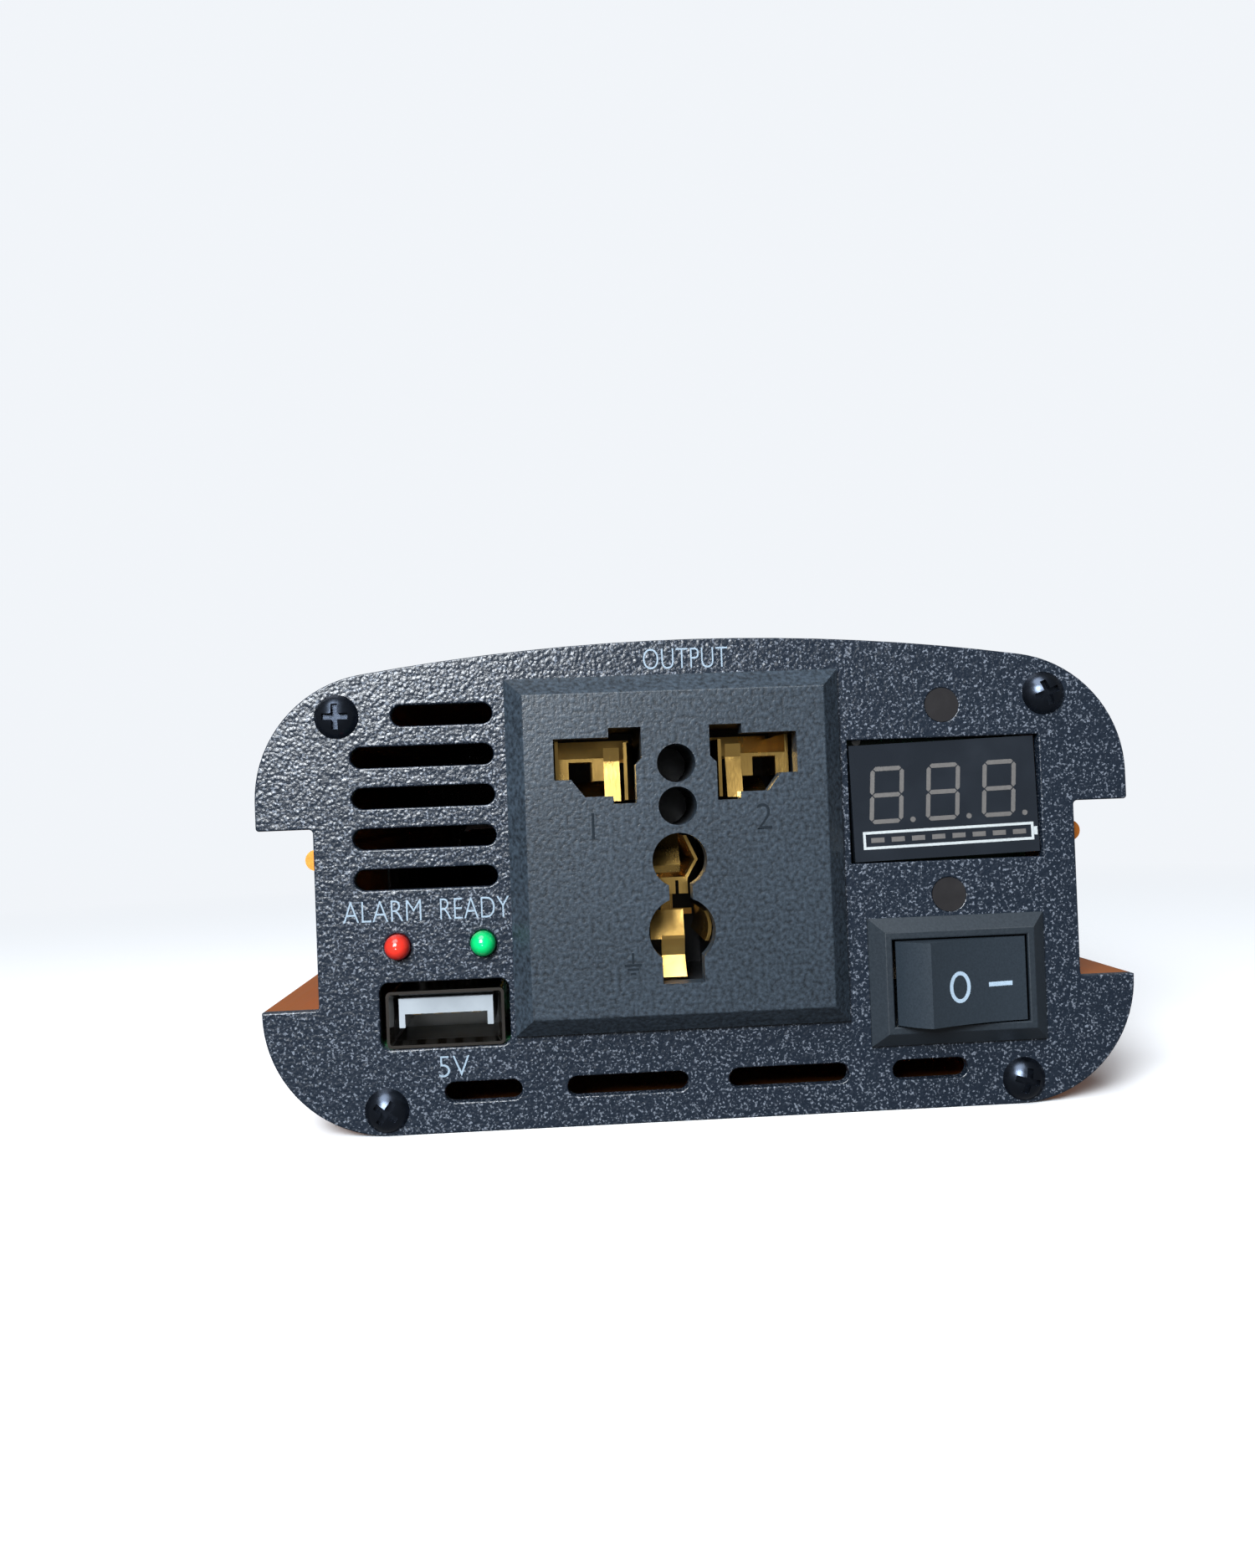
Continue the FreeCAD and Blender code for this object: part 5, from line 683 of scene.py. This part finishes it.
class INVERTER_OT_display(Operator):
    """Finish the display, and add its unlit digits, points and battery gauge"""

    bl_idname = "inverter.display"
    bl_label = "Display"

    def execute(self, context):
        look = context.scene.inverter_display
        dress(glossy("display_window", look.glass, 0.12, 0.15), "display_module")
        smoky = glossy("smoky_plastic", (0.012, 0.011, 0.012), 0.4, 0.2, Specular_IOR_Level=0.35)
        dress(smoky, "display_posts")
        low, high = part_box("display_module")
        middle = ((low.x + high.x) / 2, (low.z + high.z) / 2)
        place = tilted(on_plane(low.y), middle, look.tilt)
        segment = moulded("segment_grey", look.segment, 0.5, 0.1 * MM, 0.003 * MM)
        gauge = moulded("gauge_print", look.gauge, 0.5, 0.1 * MM, 0.003 * MM)
        shape = bmesh.new()
        for digit in range(3):
            self.add_digit(shape, look.digits_left + digit * look.digit_pitch, look, place)
        put_in_scene("display_digits", mesh_from("display_digits", shape), segment)
        self.add_gauge(place, segment, gauge)
        return {"FINISHED"}

    def add_digit(self, shape, left, look, place):
        """Seven pointed bars and a point."""
        wide, tall, stroke = look.digit_width, look.digit_height, look.stroke
        foot = PANEL_FOOT + look.digits_foot
        lean = math.tan(look.lean)
        gap = 0.09 * MM

        def bar(x0, z0, x1, z1):
            along = Vector((x1 - x0, z1 - z0))
            unit = along.normalized()
            side = Vector((-unit.y, unit.x)) * stroke / 2
            tip = unit * stroke / 2
            start, end = Vector((x0, z0)) + unit * gap, Vector((x1, z1)) - unit * gap
            corners = [start, start + tip - side, end - tip - side, end, end - tip + side, start + tip + side]
            outline = [(left + c.x + (c.y - tall / 2) * lean, foot + c.y) for c in corners]
            add_plate(shape, outline, place, FILM)

        inset = stroke / 2
        near, far, low, mid, high = inset, wide - inset, inset, tall / 2, tall - inset
        for z in (low, mid, high):
            bar(near, z, far, z)
        for x in (near, far):
            bar(x, low, x, mid)
            bar(x, mid, x, high)
        point_x, point_z, point_wide = left + wide + 0.95 * MM, foot + 0.3 * MM, 0.65 * MM
        add_plate(shape, ellipse(point_x, point_z, point_wide, point_wide, 20), place, FILM)

    def add_gauge(self, place, segment, gauge):
        """A battery's outline with eight bars in it."""
        x, z = 30.05 * MM, PANEL_FOOT + 32.5 * MM
        wide, tall, line = 20.9 * MM, 2.15 * MM, 0.32 * MM
        nub_wide, nub_tall, nub_off = 0.44 * MM, 1.0 * MM, 0.24 * MM
        count, bar_pitch, bar_wide, bar_tall = 8, 2.48 * MM, 1.6 * MM, 0.58 * MM
        shape = bmesh.new()
        outer = box_outline(x, z, wide, tall)
        inner = box_outline(x, z, wide - 2 * line, tall - 2 * line)
        add_loop(shape, outer, inner, place, FILM)
        nub = box_outline(x + wide / 2 + nub_off, z, nub_wide, nub_tall)
        add_plate(shape, nub, place, FILM)
        put_in_scene("battery_outline", mesh_from("battery_outline", shape), gauge)
        shape = bmesh.new()
        for bar in range(count):
            bar_x = x + (bar - (count - 1) / 2) * bar_pitch
            add_plate(shape, box_outline(bar_x, z, bar_wide, bar_tall), place, FILM)
        put_in_scene("battery_bars", mesh_from("battery_bars", shape), segment)


class INVERTER_OT_switch(Operator):
    """Finish the rocker switch, and print its off ring and on bar"""

    bl_idname = "inverter.switch"
    bl_label = "Rocker switch"

    def execute(self, context):
        look = context.scene.inverter_switch
        dress(moulded("switch_plastic", look.plastic, 0.4, 0.15 * MM, 0.006 * MM), "switch_housing")
        paler = shade(look.plastic, 1.25)
        dress(moulded("rocker_plastic", paler, 0.33, 0.12 * MM, 0.004 * MM), "switch_rocker")
        dress(moulded("plunger_plastic", (0.55, 0.55, 0.52), 0.4), "switch_plunger")
        dress(metal("silvered_copper", (0.78, 0.62, 0.45), 0.3), "switch_arm", "switch_terminals")
        ink = moulded("mark_ink", look.mark, 0.5, 0.1 * MM, 0.003 * MM)
        place = on_node("switch_rocker")
        ring_x, bar_x, middle = 29.5 * MM, 34.8 * MM, PANEL_FOOT + 14.9 * MM
        tall, line, bar_tall = look.ring_height, 0.45 * MM, 0.52 * MM
        wide = tall * 0.75
        shape = bmesh.new()
        outer = ellipse(ring_x, middle, wide, tall)
        inner = ellipse(ring_x, middle, wide - 2 * line, tall - 2 * line)
        add_loop(shape, outer, inner, place, FILM)
        put_in_scene("off_ring", mesh_from("off_ring", shape), ink, "rocker")
        shape = bmesh.new()
        bar = box_outline(bar_x, middle, look.bar_length, bar_tall, pieces=6)
        add_plate(shape, bar, place, FILM)
        put_in_scene("on_bar", mesh_from("on_bar", shape), ink, "rocker")
        return {"FINISHED"}


class INVERTER_OT_usb(Operator):
    """Finish the USB outlet"""

    bl_idname = "inverter.usb"
    bl_label = "USB outlet"

    def execute(self, context):
        dress(metal("nickel_plate", (0.27, 0.245, 0.22), 0.16, (1, 0.1, 1), tarnish=0.5), "usb_shell")
        dress(glossy("usb_tongue_plastic", (0.26, 0.29, 0.32), 0.35), "usb_tongue")
        dress(metal("gold_flash", (0.93, 0.68, 0.28), 0.16), "usb_contacts")
        dress(moulded("header_plastic", (0.02, 0.02, 0.02)), "usb_header")
        return {"FINISHED"}


class INVERTER_OT_lamps(Operator):
    """Finish the two lamps"""

    bl_idname = "inverter.lamps"
    bl_label = "Lamps"

    def execute(self, context):
        look = context.scene.inverter_lamps
        for node, rgb in (("fault_lamp", look.fault), ("power_lamp", look.ready)):
            low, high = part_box(node)
            dress(lamp_lens(node + "_lens", rgb, (low + high) / 2, look.radius, look.glow), node)
        return {"FINISHED"}


class INVERTER_OT_electronics(Operator):
    """Finish what is inside the case"""

    bl_idname = "inverter.electronics"
    bl_label = "Electronics"

    def execute(self, context):
        green = solder_mask("solder_mask", (0.012, 0.10, 0.035))
        dress(green, "main_board", "display_board", "usb_board", "lamp_board")
        leg_top = 15.2 * MM
        dress(tinned_package("power_package", (0.018, 0.018, 0.02), leg_top), "power_transistors")
        chip_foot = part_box("control_chips")[0].z + 1.2 * MM
        dress(tinned_package("chip_package", (0.022, 0.022, 0.024), chip_foot), "control_chips")
        dress(moulded("buzzer_plastic", (0.015, 0.015, 0.016), 0.5), "buzzer")
        can_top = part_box("capacitors")[1].z - 5.4 * MM
        dress(topped_can("capacitor_sleeve", (0.012, 0.03, 0.12), can_top), "capacitors")
        dress(moulded("ferrite", (0.055, 0.055, 0.06), 0.6, 0.3 * MM, 0.02 * MM), "transformer_cores")
        dress(moulded("bobbin_plastic", (0.02, 0.02, 0.022)), "transformer_bobbins", "fuse_holders")
        dress(wound("winding_tape", (0.80, 0.55, 0.05), 2.0 * MM, "Z"), "transformer_windings")
        dress(moulded("coated_core", (0.78, 0.62, 0.06), 0.4, 0.5 * MM, 0.03 * MM), "choke_core")
        dress(metal("enamelled_copper", (0.72, 0.27, 0.08), 0.28), "choke_winding", "fan_stator")
        dress(glossy("fuse_amber", (0.85, 0.32, 0.02), 0.15, 0.1, Transmission_Weight=0.3), "blade_fuses")
        dress(moulded("grey_silicone", (0.40, 0.42, 0.45), 0.7, 0.4 * MM, 0.02 * MM), "insulating_pads")
        dress(glossy("clear_film", (0.70, 0.66, 0.48), 0.3), "insulation_sheet")
        zinc = metal("zinc_plate", (0.62, 0.64, 0.66), 0.32)
        dress(zinc, "clamp_bars", "clamp_screws", "hex_nuts")
        sleeve = moulded("lead_sleeve", (0.02, 0.02, 0.022), 0.5, 0.8 * MM, 0.03 * MM)
        dress(sleeve, "battery_leads", "socket_leads")
        dress(moulded("signal_sleeve", (0.45, 0.03, 0.02), 0.45, 0.8 * MM, 0.02 * MM), "signal_leads")
        dress(wound("ribbon_cable", (0.42, 0.43, 0.45), 1.27 * MM, "X", 0.5), "ribbons")
        return {"FINISHED"}


class INVERTER_OT_fan(Operator):
    """Finish the fan and its guard"""

    bl_idname = "inverter.fan"
    bl_label = "Fan"

    def execute(self, context):
        plastic = moulded("fan_plastic", (0.018, 0.019, 0.021), 0.42, 0.3 * MM, 0.01 * MM)
        dress(plastic, "fan_frame", "fan_rotor")
        dress(metal("ground_steel", (0.65, 0.65, 0.66), 0.2), "fan_shaft")
        dress(metal("bright_plate", (0.75, 0.76, 0.78), 0.14, tarnish=0.85), "fan_guard")
        return {"FINISHED"}


class INVERTER_OT_posts(Operator):
    """Finish the battery posts"""

    bl_idname = "inverter.posts"
    bl_label = "Battery posts"

    def execute(self, context):
        look = context.scene.inverter_terminals
        for side, rgb in (("positive", look.positive), ("negative", look.negative)):
            plastic = moulded(side + "_plastic", rgb, 0.28, 0.4 * MM, 0.006 * MM)
            dress(plastic, side + "_cap", side + "_insulator")
        turned = metal("turned_brass", look.brass, 0.2, (1, 0.1, 1))
        dress(turned, "post_studs", "positive_washer", "negative_washer")
        return {"FINISHED"}


class INVERTER_OT_stage(Operator):
    """Add the floor, the lights and the camera"""

    bl_idname = "inverter.stage"
    bl_label = "Stage"

    def execute(self, context):
        look = context.scene.inverter_stage
        self.add_floor(context, look)
        self.add_world(context, look)
        self.add_light(context, "key", (-0.13, -0.40, 0.20), {"energy": look.key, "size": 0.16})
        self.add_light(context, "sky", (-0.5, -0.9, 2.0), {"energy": look.sun, "angle": math.radians(40)})
        self.add_camera(context, look)
        context.scene.view_settings.view_transform = "Standard"
        return {"FINISHED"}

    def add_floor(self, context, look):
        """A wide pale floor at the object's foot, which fades into the backdrop and throws no light up."""
        finish = Finish("floor_paint", Emission_Strength=look.haze, Specular_IOR_Level=0.0)
        fade = finish.between(finish.reach(finish.place), look.fade_start, look.fade_end)
        paint = finish.mix(finish.noise(0.2), look.floor, shade(look.floor, 1.02))
        finish.feed("Base Color", finish.mix(fade, paint, BLACK))
        finish.feed("Emission Color", finish.mix(fade, BLACK, BACKDROP))
        finish.feed("Roughness", 0.6 + 0.1 * finish.noise(0.01))
        shape = bmesh.new()
        bmesh.ops.create_grid(shape, x_segments=2, y_segments=2, size=look.floor_reach)
        bmesh.ops.translate(shape, verts=shape.verts, vec=(0, 0, cad_box[0][2]))
        mesh = mesh_from("floor", shape)
        mesh.materials.append(finish.material)
        floor = bpy.data.objects.new("floor", mesh)
        floor.visible_diffuse = False
        floor.visible_glossy = False
        context.scene.collection.objects.link(floor)

    def add_world(self, context, look):
        """A plain pale surround, brighter where it is seen than where it lights the object."""
        world = bpy.data.worlds.new("surround")
        world.use_nodes = True
        graph = Graph(world.node_tree)
        seen = graph.node("ShaderNodeLightPath", output="Is Camera Ray")
        strength = look.glow + seen * (look.haze - look.glow)
        light = graph.node("ShaderNodeBackground", None, {"Color": BACKDROP, "Strength": strength})
        graph.node("ShaderNodeOutputWorld", None, {"Surface": light})
        context.scene.world = world

    def add_light(self, context, name, place, settings):
        """A soft light that faces the object: a sun where it has an angle, else a square."""
        data = bpy.data.lights.new(name, "SUN" if "angle" in settings else "AREA")
        for setting, value in settings.items():
            setattr(data, setting, value)
        data.color = LIGHT_TINT
        lamp = bpy.data.objects.new(name, data)
        lamp.location = place
        aim = Vector((0, 0, PANEL_FOOT + 30 * MM)) - Vector(place)
        lamp.rotation_euler = aim.to_track_quat("-Z", "Y").to_euler()
        context.scene.collection.objects.link(lamp)

    def add_camera(self, context, look):
        """A camera close to the front panel."""
        data = bpy.data.cameras.new("camera")
        data.lens = look.lens
        data.clip_start = 0.01
        camera = bpy.data.objects.new("camera", data)
        camera.location = look.camera_place
        yaw = Matrix.Rotation(-look.camera_yaw, 3, "Z")
        pitch = Matrix.Rotation(math.pi / 2 + look.camera_pitch, 3, "X")
        roll = Matrix.Rotation(look.camera_roll, 3, "Z")
        camera.rotation_euler = (yaw @ pitch @ roll).to_euler()
        context.scene.collection.objects.link(camera)
        context.scene.camera = camera


class INVERTER_PT_looks(Panel):
    """Lists the inverter's pieces and their settings"""

    bl_label = "Power Inverter"
    bl_idname = "INVERTER_PT_looks"
    bl_space_type = "VIEW_3D"
    bl_region_type = "UI"
    bl_category = "Inverter"

    def draw(self, context):
        for operator in OPERATORS:
            self.layout.operator(operator.bl_idname)
        for name, group in SETTINGS.items():
            box = self.layout.box()
            for setting in group.__annotations__:
                box.prop(getattr(context.scene, name), setting)


OPERATORS = (
    INVERTER_OT_case,
    INVERTER_OT_panels,
    INVERTER_OT_socket,
    INVERTER_OT_words,
    INVERTER_OT_display,
    INVERTER_OT_switch,
    INVERTER_OT_usb,
    INVERTER_OT_lamps,
    INVERTER_OT_electronics,
    INVERTER_OT_fan,
    INVERTER_OT_posts,
    INVERTER_OT_stage,
)


def register():
    for group in (*SETTINGS.values(), *OPERATORS, INVERTER_PT_looks):
        bpy.utils.register_class(group)
    for name, group in SETTINGS.items():
        setattr(bpy.types.Scene, name, PointerProperty(type=group))


def unregister():
    for name in SETTINGS:
        delattr(bpy.types.Scene, name)
    for group in reversed((*SETTINGS.values(), *OPERATORS, INVERTER_PT_looks)):
        bpy.utils.unregister_class(group)


def main():
    register()
    for operator in OPERATORS:
        group, action = operator.bl_idname.split(".")
        getattr(getattr(bpy.ops, group), action)()


if __name__ == "__main__":
    main()
